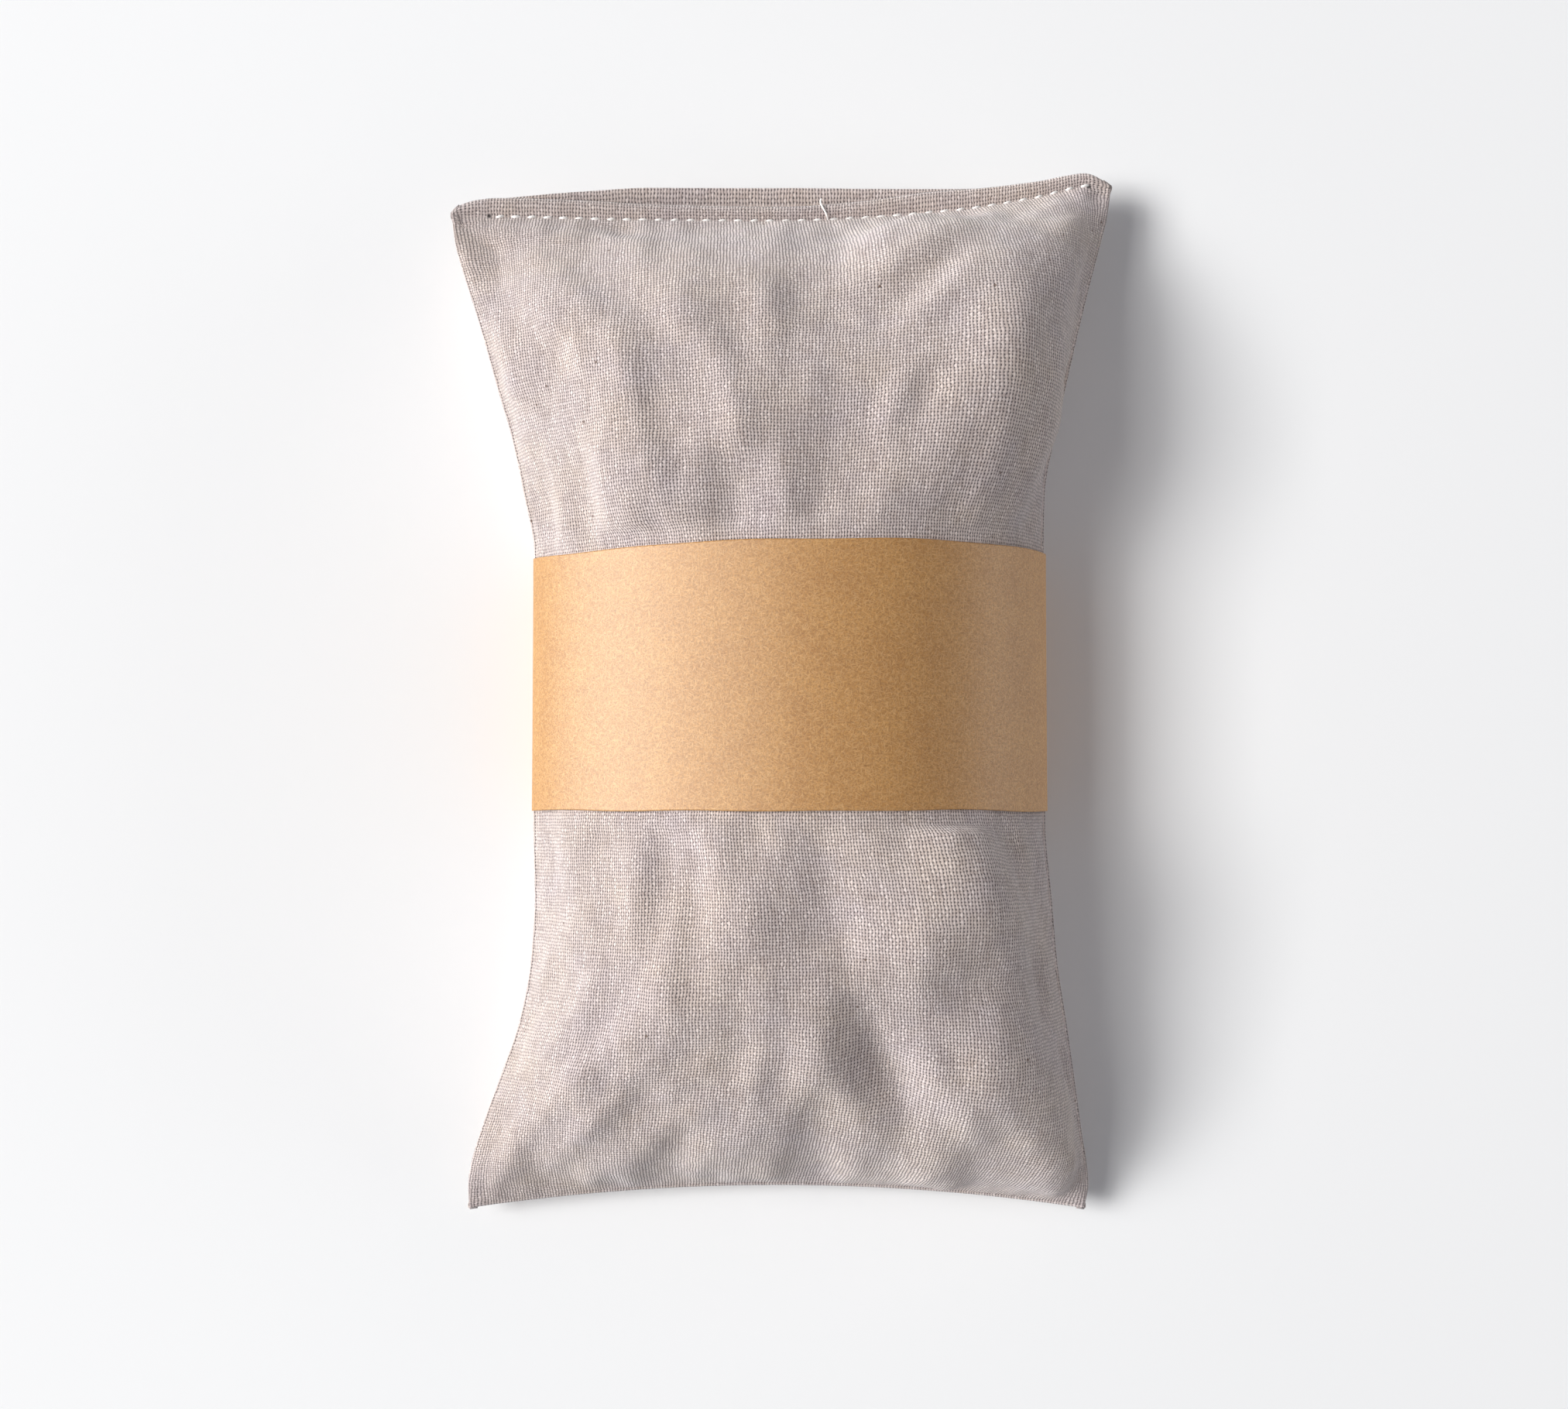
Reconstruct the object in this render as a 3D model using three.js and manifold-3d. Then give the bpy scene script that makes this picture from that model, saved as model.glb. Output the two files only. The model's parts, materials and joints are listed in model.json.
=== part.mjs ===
// Lavender sachet: a cotton pouch of dried buds, topstitched shut along its mouth, in a paper belly band.
// Millimetres, +Z up. The pouch lies on its back, +Y points to the sewn mouth, the origin is under its
// middle.
import * as THREE from 'three';
import { mergeVertices } from 'three/addons/utils/BufferGeometryUtils.js';
import Module from 'manifold-3d';

const wasm = await Module();
wasm.setup();

// Pouch, outside sizes
const POUCH_LENGTH = 142.4; // along Y, over the corners
const MOUTH_WIDTH = 91;
const FOOT_WIDTH = 86;
const WAIST_WIDTH = 68.2; // drawn in under the band
const CROWN_HEIGHT = 33; // top of the cloth under the band
const MOUTH_SWELL = 1.5; // how far the buds lift the front half way between the band and the mouth
const FOOT_SWELL = 0.5;
const SHOULDER = 5; // length of the cloth between the band and the first folds
const MOUTH_TILT = 2.1; // the mouth runs up to the right by this on each side of its middle
const FOOT_BOW = 4; // the foot edge curves in by this at its middle
const LIP_DROP = 1.7; // the front lip lies this far below the back lip
const MOUTH_FLARE = 1.4; // power of the curve from waist to mouth corner
const FOOT_FLARE = 1.9;

// Section of the pouch: the buds have slipped to its right side
const CREST_SHIFT = 0.24; // from the middle to the crest of the front, as a share of the half width
const CREST_DRIFT = 0.2; // growth of that share away from the band
const FRONT_ROUNDNESS = 2.2; // 2 is a round crest, more is a flatter one
const FRONT_FLATNESS = 1.5; // growth of the roundness towards the ends
const FRONT_SLOPE = 0.7; // 0.5 is a full side, 1 is a slack one
const FRONT_SLACK = 0.15; // growth of the slope towards the ends
const BACK_ROUNDNESS = 2.3;
const BACK_SLOPE = 0.5;
const END_SLOPE = 0.65; // the same for the fall from the band to the ends

// Height of the side seams over the table
const WAIST_SEAM_HEIGHT = 12.5;
const WAIST_LEAN = 3; // the right seam lies this far above that height and the left one this far below
const MOUTH_SEAM_HEIGHT = 8;
const FOOT_SEAM_HEIGHT = 5;
const BACK_FULLNESS = 1.35; // how far the back panel would sag past the table, as a share

// Main folds of the front panel: places along each in X and Y, its height and its reach to the left and right
const FOLDS = [
  { path: [[-24, 48], [-18, 33], [-15, 18]], height: 1.9, left: 7, right: 4 },
  { path: [[-4.5, 32], [-4.5, 25], [-4, 16]], height: -1.3, left: 5, right: 5 },
  { path: [[36, 60], [29, 42], [20, 22]], height: 1.6, left: 5, right: 6 },
  { path: [[-12, -16], [-12, -32]], height: -1.2, left: 5, right: 5 },
  { path: [[21, -16], [22, -38]], height: 1.7, left: 8, right: 5 },
  { path: [[4, -33], [4.5, -48], [1.5, -55]], height: 1.4, left: 5, right: 4 },
  { path: [[8, -39], [14, -54], [19, -64]], height: -2.1, left: 4.5, right: 4.5 },
];
const FOLD_START = 0.1; // share of the way from the band to the end over which the folds rise

// Cloth and sewing
const CLOTH = 0.4;
const LAYER_GAP = 0.25; // between layers of cloth that are pressed together
const SEAM_ALLOWANCE = 7;
const HEM_DEPTH = 8; // cloth turned in at the mouth
const STITCH_LENGTH = 2.18;
const STITCH_INSET = 2.5; // from the front lip to the closing seam
const STITCH_MARGIN = 4.2; // from the corners to the ends of the closing seam
const SEWN_FLAT = 1; // cloth held flat past the closing seam
const SEAM_INSET = 2.6; // from the folded side to the hidden seam
const THREAD = 0.3; // diameter
const NEEDLE_CLEARANCE = 0.2; // round the threads in a needle hole
const TAIL_PLACE = 6; // of the loose thread end, right of the middle
const TAIL_SWAY = 1.6;
const SEAM_STEPS = 12; // straight runs of the hidden seam down a side
const FOOT_STEPS = 8; // and across the foot
const FOOT_SPAN = 0.8; // share of the half width between the seam's corners

// Paper band
const BAND_WIDTH = 34.2;
const BAND_CENTRE = 1.1; // a little nearer the mouth
const PAPER = 0.3;
const OVERLAP = 12;
const GLUE = 0.1;
const GLUE_MARGIN = 1; // bare paper round the glue
const STEP_RUN = 3; // length over which the outer end steps down by one sheet
const WAIST_MARGIN = 1.5; // straight cloth on both sides of the band

// Gaps
const CLEARANCE = 0.3; // between pieces that rest on each other
const FILLING_CLEARANCE = 0.9; // the buds stop short of the cloth, whose facets are coarser than theirs

// Facets
const COLUMNS = 20;
const ROWS = 7;
const EVENNESS = 0.6; // 0 crowds the columns at the sides of a panel, 1 spaces them evenly
const FILLING_COLUMNS = 12;
const FILLING_ROWS = 12;

const mouthEnd = POUCH_LENGTH / 2 - MOUTH_TILT;
const footEnd = POUCH_LENGTH / 2;
const waistTop = BAND_CENTRE + BAND_WIDTH / 2 + WAIST_MARGIN;
const waistFoot = BAND_CENTRE - BAND_WIDTH / 2 - WAIST_MARGIN;
const stack = 2 * CLOTH + LAYER_GAP; // a turned-in edge, from its seam side to its outside
const sewnLine = mouthEnd - STITCH_INSET - LIP_DROP - SEWN_FLAT;
const recess = 2 * PAPER + GLUE + CLEARANCE; // room for the band between the back panel and the table
const deepestFold = Math.max(...FOLDS.map(({ height }) => -height));
const threadLift = LAYER_GAP / 2 + stack + CLEARANCE + THREAD / 2;
const FRONT = 1;
const BACK = -1;

// 0 in the waist, 1 at either end of the pouch.
function reach(y) {
  if (y > waistTop) return (y - waistTop) / (mouthEnd - waistTop);
  if (y < waistFoot) return (waistFoot - y) / (waistFoot + footEnd);
  return 0;
}

function halfWidth(row) {
  const end = row > 0 ? MOUTH_WIDTH : FOOT_WIDTH;
  const flare = row > 0 ? MOUTH_FLARE : FOOT_FLARE;
  return WAIST_WIDTH / 2 + ((end - WAIST_WIDTH) / 2) * reach(row) ** flare;
}

// Height of the seam between the panels, at share u across the pouch.
function seamHeight(y, u) {
  const end = y > 0 ? MOUTH_SEAM_HEIGHT : FOOT_SEAM_HEIGHT;
  return end + (WAIST_SEAM_HEIGHT - end + WAIST_LEAN * u) * (1 - reach(y) ** 2);
}

// 0 in the waist, 1 where the panels are sewn together.
function fall(row) {
  const run = row > 0 ? sewnLine - waistTop : waistFoot + footEnd - stack;
  const gone = row > waistTop ? row - waistTop : Math.max(waistFoot - row, 0);
  return Math.min(gone / run, 1);
}

// Share of the full rise across a row: 1 on the crest, 0 at the sides.
function bulge(side, u, row) {
  if (side === BACK) return (1 - Math.abs(u) ** BACK_ROUNDNESS) ** BACK_SLOPE;
  const s = reach(row);
  const shift = CREST_SHIFT * (1 + CREST_DRIFT * Math.min(s / FOLD_START, 1));
  const off = Math.min(Math.abs(u - shift * (1 - u * u)), 1);
  return (1 - off ** (FRONT_ROUNDNESS + FRONT_FLATNESS * s)) ** (FRONT_SLOPE + FRONT_SLACK * s * s);
}

// How far the main folds lift the front panel.
function relief(x, y, row) {
  const place = new THREE.Vector3(x, y, 0);
  const nearest = new THREE.Vector3();
  const lift = FOLDS.map(({ path, height, left, right }) => {
    const offsets = path.slice(1).map((end, k) => {
      const run = new THREE.Line3(new THREE.Vector3(...path[k], 0), new THREE.Vector3(...end, 0));
      return run.closestPointToPoint(place, true, nearest).sub(place).toArray();
    });
    const [dx, dy] = offsets.sort((a, b) => Math.hypot(...a) - Math.hypot(...b))[0];
    return height * Math.exp(-((Math.hypot(dx, dy) / (dx > 0 ? left : right)) ** 2));
  });
  return lift.reduce((sum, part) => sum + part, 0) * Math.min(reach(row) / FOLD_START, 1);
}

// Rounds a folded edge: 0 on the fold, 1 once the full stack is reached.
function fold(distance) {
  const share = Math.min(distance / stack, 1);
  return Math.sqrt(1 - (1 - share) ** 2);
}

// Place along Y of a point at share u across a row.
function along(side, u, row) {
  const s = reach(row);
  if (row <= 0) return row + FOOT_BOW * (1 - u * u) * s * s;
  const drop = side === FRONT ? LIP_DROP * (1 - u * u) * s ** 6 : 0;
  return row + MOUTH_TILT * u * s * s - drop;
}

// A row moved in from the ends, as the turned-in cloth and the inside faces are.
function drawnIn(row, mouth, foot) {
  return row > 0 ? row * (1 - mouth / mouthEnd) : row * (1 - foot / footEnd);
}

// A point on the outside (inset 0) or the inside (inset CLOTH) of a panel, with or without its main folds.
function panelPoint(side, inset, u, row, plain = false) {
  const toEnd = row > 0 ? mouthEnd - row : footEnd + row;
  const toSide = halfWidth(row) * (1 - Math.abs(u));
  const folded = Math.min(fold(toEnd), fold(toSide));
  const y = along(side, u, drawnIn(row, inset, inset));
  const seam = seamHeight(y, u);
  const share = fall(row);
  const full = (1 - share ** 2) ** END_SLOPE;
  const across = bulge(side, u, row);
  const flat = LAYER_GAP / 2 + inset + (stack - 2 * inset) * folded;
  let rise = seam * BACK_FULLNESS * Math.sqrt(full) * across;
  if (side === FRONT) {
    const crest = CROWN_HEIGHT - seam - LAYER_GAP / 2 - stack;
    const swell = (row > 0 ? MOUTH_SWELL : FOOT_SWELL) * 4 * share * (1 - share);
    rise = (crest * full + swell) * across;
    if (!plain) rise += relief(u * halfWidth(row), along(side, u, row), row) * Math.min(rise / stack, 1);
  }
  let z = seam + side * (flat + rise);
  if (side === BACK) {
    const inWaist = row >= waistFoot - 1e-6 && row <= waistTop + 1e-6;
    z = Math.max(z, (inWaist ? recess : 0) + inset);
  }
  return new THREE.Vector3(u * (halfWidth(row) - inset), y, z);
}

// A point on the inner edge of the turned-in allowance.
function allowancePoint(side, lift, u, row) {
  const inner = drawnIn(row, HEM_DEPTH, SEAM_ALLOWANCE);
  const x = u * (halfWidth(inner) - SEAM_ALLOWANCE);
  const share = x / halfWidth(inner);
  const y = along(side, share, inner);
  return new THREE.Vector3(x, y, seamHeight(y, share) + side * (LAYER_GAP / 2 + lift));
}

// Gathers points and faces into one closed surface.
class Surface {
  constructor(flipped = false) {
    this.flipped = flipped;
    this.positions = [];
    this.faces = [];
  }

  point(p) {
    this.positions.push(p.x, p.y, p.z);
    return this.positions.length / 3 - 1;
  }

  quad(a, b, c, d) {
    const corners = this.flipped ? [a, d, c, b] : [a, b, c, d];
    this.faces.push(corners[0], corners[1], corners[2]);
    this.faces.push(corners[0], corners[2], corners[3]);
  }

  grid(points, reversed = false) {
    const ids = points.map((line) => line.map((p) => this.point(p)));
    for (let j = 0; j + 1 < ids.length; j++) {
      for (let i = 0; i + 1 < ids[j].length; i++) {
        const corners = [ids[j][i], ids[j][i + 1], ids[j + 1][i + 1], ids[j + 1][i]];
        if (reversed) corners.reverse();
        this.quad(...corners);
      }
    }
    return rim(ids);
  }

  strip(from, to) {
    from.forEach((id, k) => {
      const next = (k + 1) % from.length;
      this.quad(from[next], id, to[k], to[next]);
    });
  }

  geometry() {
    const geometry = new THREE.BufferGeometry();
    geometry.setAttribute('position', new THREE.Float32BufferAttribute(this.positions, 3));
    geometry.setIndex(this.faces);
    geometry.computeVertexNormals();
    return geometry;
  }
}

// The entries on the edge of a grid, in order round it.
function rim(lines) {
  const last = lines.length - 1;
  const end = lines[0].length - 1;
  return [
    ...lines[0].slice(0, end),
    ...lines.slice(0, last).map((line) => line[end]),
    ...lines[last].slice(1).reverse(),
    ...lines.slice(1).map((line) => line[0]).reverse(),
  ];
}

function columns(count, evenness = 0) {
  return Array.from({ length: count + 1 }, (_, i) => {
    const crowded = -Math.cos((Math.PI * i) / count);
    return crowded + evenness * ((2 * i) / count - 1 - crowded);
  });
}

// Distances from a sewn end to the waist, close together near the end.
function distances(first, run) {
  const start = first[first.length - 1];
  const rest = Array.from({ length: ROWS }, (_, k) => {
    const share = 1 - Math.cos((Math.PI * (k + 1)) / (2 * ROWS));
    return start + (run - SHOULDER - start) * share;
  });
  return [...first, ...rest, run];
}

const footRows = distances([0, 0.3 * stack, stack], footEnd + waistFoot).map((d) => d - footEnd);
const mouthRows = distances([0, 0.3 * stack, stack, mouthEnd - sewnLine], mouthEnd - waistTop)
  .map((d) => mouthEnd - d)
  .reverse();
const rows = [...footRows, ...mouthRows];
const shares = columns(COLUMNS, EVENNESS);

function panel(side) {
  const surface = new Surface(side === BACK);
  const face = (inset) => rows.map((row) => shares.map((u) => panelPoint(side, inset, u, row)));
  const edge = (lift) => {
    const lines = rows.map((row) => shares.map((u) => allowancePoint(side, lift, u, row)));
    return rim(lines).map((p) => surface.point(p));
  };
  const outside = surface.grid(face(0));
  const inside = surface.grid(face(CLOTH), true);
  const lower = edge(0);
  const upper = edge(CLOTH);
  surface.strip(outside, lower);
  surface.strip(lower, upper);
  surface.strip(upper, inside);
  return surface.geometry();
}

function solid(geometry) {
  const bare = new THREE.BufferGeometry();
  bare.setAttribute('position', geometry.getAttribute('position'));
  bare.setIndex(geometry.index);
  const merged = mergeVertices(bare, 1e-4);
  return new wasm.Manifold(
    new wasm.Mesh({
      numProp: 3,
      vertProperties: merged.getAttribute('position').array,
      triVerts: new Uint32Array(merged.index.array),
    }),
  );
}

function surfaceOf(manifold) {
  const mesh = manifold.getMesh();
  const geometry = new THREE.BufferGeometry();
  geometry.setAttribute('position', new THREE.BufferAttribute(mesh.vertProperties, 3));
  geometry.setIndex(new THREE.BufferAttribute(mesh.triVerts, 1));
  geometry.computeVertexNormals();
  return geometry;
}

// The closing seam, a fixed way in from the front lip.
const seamRow = mouthEnd - STITCH_INSET;
const seamHalf = halfWidth(seamRow) - STITCH_MARGIN;
const stitches = Math.floor((2 * seamHalf) / STITCH_LENGTH);
const seamStart = (-stitches * STITCH_LENGTH) / 2;
const legOffset = 0.85 * THREAD; // from the middle of a needle hole to either leg of a stitch

function seamPoint(x, lift) {
  const u = x / halfWidth(seamRow);
  const y = along(FRONT, u, seamRow);
  return new THREE.Vector3(x, y, seamHeight(y, u) + lift);
}

function needleHoles() {
  const length = 2 * legOffset + THREAD + 2 * NEEDLE_CLEARANCE;
  const width = THREAD + 2 * NEEDLE_CLEARANCE;
  const holes = Array.from({ length: stitches + 1 }, (_, k) => {
    const x = seamStart + k * STITCH_LENGTH;
    const middle = seamPoint(x, 0);
    const ahead = seamPoint(x + 1, 0).sub(seamPoint(x - 1, 0));
    const box = new THREE.BoxGeometry(length, width, 4 * threadLift);
    box.rotateZ(Math.atan2(ahead.y, ahead.x));
    box.translate(middle.x, middle.y, middle.z);
    return solid(box);
  });
  return wasm.Manifold.union(holes);
}

// A run of given points as a path for a sweep.
class PointRun extends THREE.Curve {
  constructor(points) {
    super();
    this.points = points;
  }

  getPointAt(share, target = new THREE.Vector3()) {
    return target.copy(this.points[Math.round(share * (this.points.length - 1))]);
  }

  getTangentAt(share, target = new THREE.Vector3()) {
    const k = Math.round(share * (this.points.length - 1));
    const before = this.points[Math.max(k - 1, 0)];
    const after = this.points[Math.min(k + 1, this.points.length - 1)];
    return target.subVectors(after, before).normalize();
  }
}

function thread(points, sides) {
  const section = new THREE.Shape();
  for (let k = 0; k < sides; k++) {
    const angle = (2 * Math.PI * k) / sides;
    const place = [(THREAD / 2) * Math.cos(angle), (THREAD / 2) * Math.sin(angle)];
    if (k === 0) section.moveTo(...place);
    else section.lineTo(...place);
  }
  section.closePath();
  return new THREE.ExtrudeGeometry(section, {
    steps: points.length - 1,
    bevelEnabled: false,
    extrudePath: new PointRun(points),
  });
}

// One thread of the closing seam: it lies on its side of the cloth and dips half way into each needle hole.
function closingThread(side) {
  const depth = threadLift - THREAD / 2 - NEEDLE_CLEARANCE / 2;
  const points = [];
  for (let k = 0; k < stitches; k++) {
    const start = seamStart + k * STITCH_LENGTH;
    const end = start + STITCH_LENGTH;
    const shape = [
      [start + legOffset, legOffset - depth],
      [start + legOffset, -legOffset],
      [start + 2 * legOffset, 0],
      [end - 2 * legOffset, 0],
      [end - legOffset, -legOffset],
      [end - legOffset, legOffset - depth],
    ];
    if (k + 1 < stitches) shape.push([end, -depth]);
    shape.forEach(([x, h]) => points.push(seamPoint(x, side * (threadLift + h))));
  }
  return thread(points, 4);
}

// One thread of the hidden seam: down one side, across the foot and up the other side, on the allowance.
function hiddenSeamThread(side) {
  const lift = LAYER_GAP / 2 + CLOTH + CLEARANCE + THREAD / 2;
  const top = drawnIn(mouthEnd, HEM_DEPTH + 1, 0);
  const low = SEAM_INSET - footEnd;
  const place = (u, row) => {
    const x = u * (halfWidth(row) - SEAM_INSET);
    const share = x / halfWidth(row);
    const y = along(BACK, share, row);
    return new THREE.Vector3(x, y, seamHeight(y, share) + side * lift);
  };
  const steps = (count) => Array.from({ length: count + 1 }, (_, k) => k / count);
  const down = steps(SEAM_STEPS).map((share) => top + (low - top) * share);
  const foot = steps(FOOT_STEPS).map((share) => FOOT_SPAN * (2 * share - 1));
  return thread(
    [
      ...down.map((row) => place(-1, row)),
      ...foot.map((u) => place(u, low)),
      ...down.reverse().map((row) => place(1, row)),
    ],
    5,
  );
}

// The loose end: from the back lip, up over the front lip and down towards the closing seam.
function looseEnd() {
  const u = TAIL_PLACE / halfWidth(mouthEnd);
  const lip = along(FRONT, u, mouthEnd);
  const out = lip + CLEARANCE + THREAD / 2;
  const low = seamHeight(out, u) - LAYER_GAP / 2 + CLEARANCE + THREAD / 2;
  const high = seamHeight(lip, u) + threadLift;
  const rest = lip - STITCH_INSET + 2 * THREAD + CLEARANCE;
  const path = new THREE.CatmullRomCurve3([
    new THREE.Vector3(TAIL_PLACE - TAIL_SWAY, out + 0.5, low),
    new THREE.Vector3(TAIL_PLACE - TAIL_SWAY / 2, out + 0.1, low + 0.3),
    new THREE.Vector3(TAIL_PLACE - TAIL_SWAY / 4, out, high),
    new THREE.Vector3(TAIL_PLACE, lip - 0.5, high + 0.25),
    new THREE.Vector3(TAIL_PLACE, rest, high + 0.2),
  ]);
  return thread(path.getPoints(12), 5);
}

// The buds, one packed mass inside the turned-in allowances.
function filling() {
  const inset = SEAM_ALLOWANCE + FILLING_CLEARANCE;
  const low = inset - footEnd;
  const high = mouthEnd - HEM_DEPTH - FILLING_CLEARANCE - LIP_DROP;
  const lines = Array.from({ length: FILLING_ROWS + 1 }, (_, j) => {
    const share = 0.5 - 0.5 * Math.cos((Math.PI * j) / FILLING_ROWS);
    return low + (high - low) * share;
  });
  const face = (side) =>
    lines.map((row) =>
      columns(FILLING_COLUMNS).map((share) => {
        const half = halfWidth(row) - inset;
        const p = panelPoint(side, CLOTH, (share * half) / halfWidth(row), row, true);
        const room = FILLING_CLEARANCE + (side === FRONT ? deepestFold : 0);
        const z = Math.max(p.z - side * room, recess + CLOTH + CLEARANCE);
        return new THREE.Vector3(share * half, p.y, z);
      }),
    );
  const surface = new Surface();
  const top = surface.grid(face(FRONT));
  const bottom = surface.grid(face(BACK), true);
  surface.strip(top, bottom);
  return surface.geometry();
}

// A run of points in the XZ section, moved sideways by a distance.
function offset(points, distance, closed) {
  const normal = (a, b) => new THREE.Vector2(b.y - a.y, a.x - b.x).normalize();
  return points.map((p, k) => {
    const count = points.length;
    const before = closed ? points[(k + count - 1) % count] : points[Math.max(k - 1, 0)];
    const after = closed ? points[(k + 1) % count] : points[Math.min(k + 1, count - 1)];
    const first = p === before ? normal(p, after) : normal(before, p);
    const second = p === after ? normal(before, p) : normal(p, after);
    const mitre = first.clone().add(second).divideScalar(1 + first.dot(second));
    return p.clone().addScaledVector(mitre, distance);
  });
}

// The middle line of the paper: it follows the waist of the pouch, and its outer end steps down by one sheet.
function bandLine() {
  const section = (side) =>
    shares.map((u) => panelPoint(side, 0, u, BAND_CENTRE)).map((p) => new THREE.Vector2(p.x, p.z));
  const waist = [...section(BACK), ...section(FRONT).reverse()];
  const line = offset(waist, CLEARANCE + PAPER / 2, true);
  const back = line.slice(0, COLUMNS + 1);
  const front = line.slice(COLUMNS + 1);
  const tip = -OVERLAP / 2;
  const step = tip - CLEARANCE - STEP_RUN;
  const inner = 1.5 * PAPER + GLUE;
  return [
    new THREE.Vector2(tip, inner),
    ...back.filter((p) => p.x > tip + 0.5),
    ...front,
    ...back.filter((p) => p.x < step - 0.5),
    new THREE.Vector2(step, inner),
    new THREE.Vector2(tip - CLEARANCE, PAPER / 2),
    new THREE.Vector2(-tip, PAPER / 2),
  ];
}

function band() {
  const line = bandLine();
  const outline = [...offset(line, PAPER / 2, false), ...offset(line, -PAPER / 2, false).reverse()];
  const geometry = new THREE.ExtrudeGeometry(new THREE.Shape(outline), {
    depth: BAND_WIDTH,
    bevelEnabled: false,
  });
  const front = BAND_CENTRE + BAND_WIDTH / 2;
  return geometry.applyMatrix4(
    new THREE.Matrix4().set(1, 0, 0, 0, 0, 0, -1, front, 0, 1, 0, 0, 0, 0, 0, 1),
  );
}

function glueStrip() {
  const box = new THREE.BoxGeometry(OVERLAP - 2 * GLUE_MARGIN, BAND_WIDTH - 2 * GLUE_MARGIN, GLUE);
  return box.translate(0, BAND_CENTRE, PAPER + GLUE / 2);
}

const cotton = new THREE.MeshStandardMaterial({ name: 'cotton', color: 0xd2c6c4, roughness: 0.95 });
const cottonThread = new THREE.MeshStandardMaterial({
  name: 'cotton_thread',
  color: 0xf3eee8,
  roughness: 0.8,
});
const buds = new THREE.MeshStandardMaterial({ name: 'dried_buds', color: 0x6f6785, roughness: 1 });
const kraft = new THREE.MeshStandardMaterial({ name: 'kraft_paper', color: 0xc49b65, roughness: 0.85 });
const glue = new THREE.MeshStandardMaterial({ name: 'dry_glue', color: 0xe6dcc4, roughness: 0.5 });

const sachet = new THREE.Group();
sachet.name = 'lavender_sachet';

function add(name, geometry, material) {
  const mesh = new THREE.Mesh(geometry, material);
  mesh.name = name;
  sachet.add(mesh);
}

const holes = needleHoles();
add('front_panel', surfaceOf(solid(panel(FRONT)).subtract(holes)), cotton);
add('back_panel', surfaceOf(solid(panel(BACK)).subtract(holes)), cotton);
add('lavender_filling', filling(), buds);
add('seam_needle_thread', hiddenSeamThread(FRONT), cottonThread);
add('seam_bobbin_thread', hiddenSeamThread(BACK), cottonThread);
add('closing_needle_thread', closingThread(FRONT), cottonThread);
add('closing_bobbin_thread', closingThread(BACK), cottonThread);
add('thread_tail', looseEnd(), cottonThread);
add('belly_band', band(), kraft);
add('band_adhesive', glueStrip(), glue);

export default sachet;
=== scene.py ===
"""Looks of the lavender sachet: a stuffed cotton pouch, sewn shut, in a kraft paper band.

The builders work in millimetres and write their meshes in metres, in the frame's own axes:
X across the pouch, Y from its foot to its sewn mouth, Z up from the table.
"""

import json
import logging
import math
from dataclasses import dataclass
from enum import Enum
from typing import Any, Sequence

import bpy
import numpy as np
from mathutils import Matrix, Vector

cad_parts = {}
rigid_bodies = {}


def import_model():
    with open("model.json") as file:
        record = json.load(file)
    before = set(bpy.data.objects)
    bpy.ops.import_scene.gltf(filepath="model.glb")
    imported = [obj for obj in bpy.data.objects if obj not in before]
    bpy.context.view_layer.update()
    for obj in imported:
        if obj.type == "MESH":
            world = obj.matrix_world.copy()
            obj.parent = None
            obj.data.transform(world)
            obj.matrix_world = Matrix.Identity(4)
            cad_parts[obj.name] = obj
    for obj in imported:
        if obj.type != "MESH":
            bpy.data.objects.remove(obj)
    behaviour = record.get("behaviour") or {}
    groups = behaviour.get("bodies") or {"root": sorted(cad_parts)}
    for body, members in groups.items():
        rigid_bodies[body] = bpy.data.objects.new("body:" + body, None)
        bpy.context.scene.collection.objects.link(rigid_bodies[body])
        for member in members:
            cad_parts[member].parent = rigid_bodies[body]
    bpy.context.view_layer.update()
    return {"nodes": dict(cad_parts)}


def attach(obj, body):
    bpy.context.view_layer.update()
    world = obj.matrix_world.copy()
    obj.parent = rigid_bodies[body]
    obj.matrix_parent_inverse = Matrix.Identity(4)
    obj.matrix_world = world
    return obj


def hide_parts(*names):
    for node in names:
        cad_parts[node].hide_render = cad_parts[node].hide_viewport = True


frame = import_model()

MM = 0.001
TINY = 1e-9
FULL_TURN = 6.28
WHITE = "#FFFFFF"
RIGHTWARD = np.array([1.0, 0.0, 0.0])
MOUTHWARD = np.array([0.0, 1.0, 0.0])
LOG = logging.getLogger("sachet")

Grid = np.ndarray
Stations = Sequence[tuple[float, float]]


class Side(Enum):
    """The pouch's two panels: the crowned front and the back that lies on the table."""

    FRONT = 1
    BACK = -1

    @property
    def up(self) -> np.ndarray:
        """Gives the direction that faces out of the pouch."""
        return np.array([0.0, 0.0, float(self.value)])


def linear(colour: str) -> tuple[float, float, float, float]:
    """Turns an sRGB hex colour into linear light.

    Args:
        colour: Six hex digits after a hash sign.

    Returns:
        Red, green, blue and an alpha of one.
    """
    shares = [int(colour[i : i + 2], 16) / 255 for i in (1, 3, 5)]
    red, green, blue = (c / 12.92 if c <= 0.04045 else ((c + 0.055) / 1.055) ** 2.4 for c in shares)
    return red, green, blue, 1.0


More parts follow.
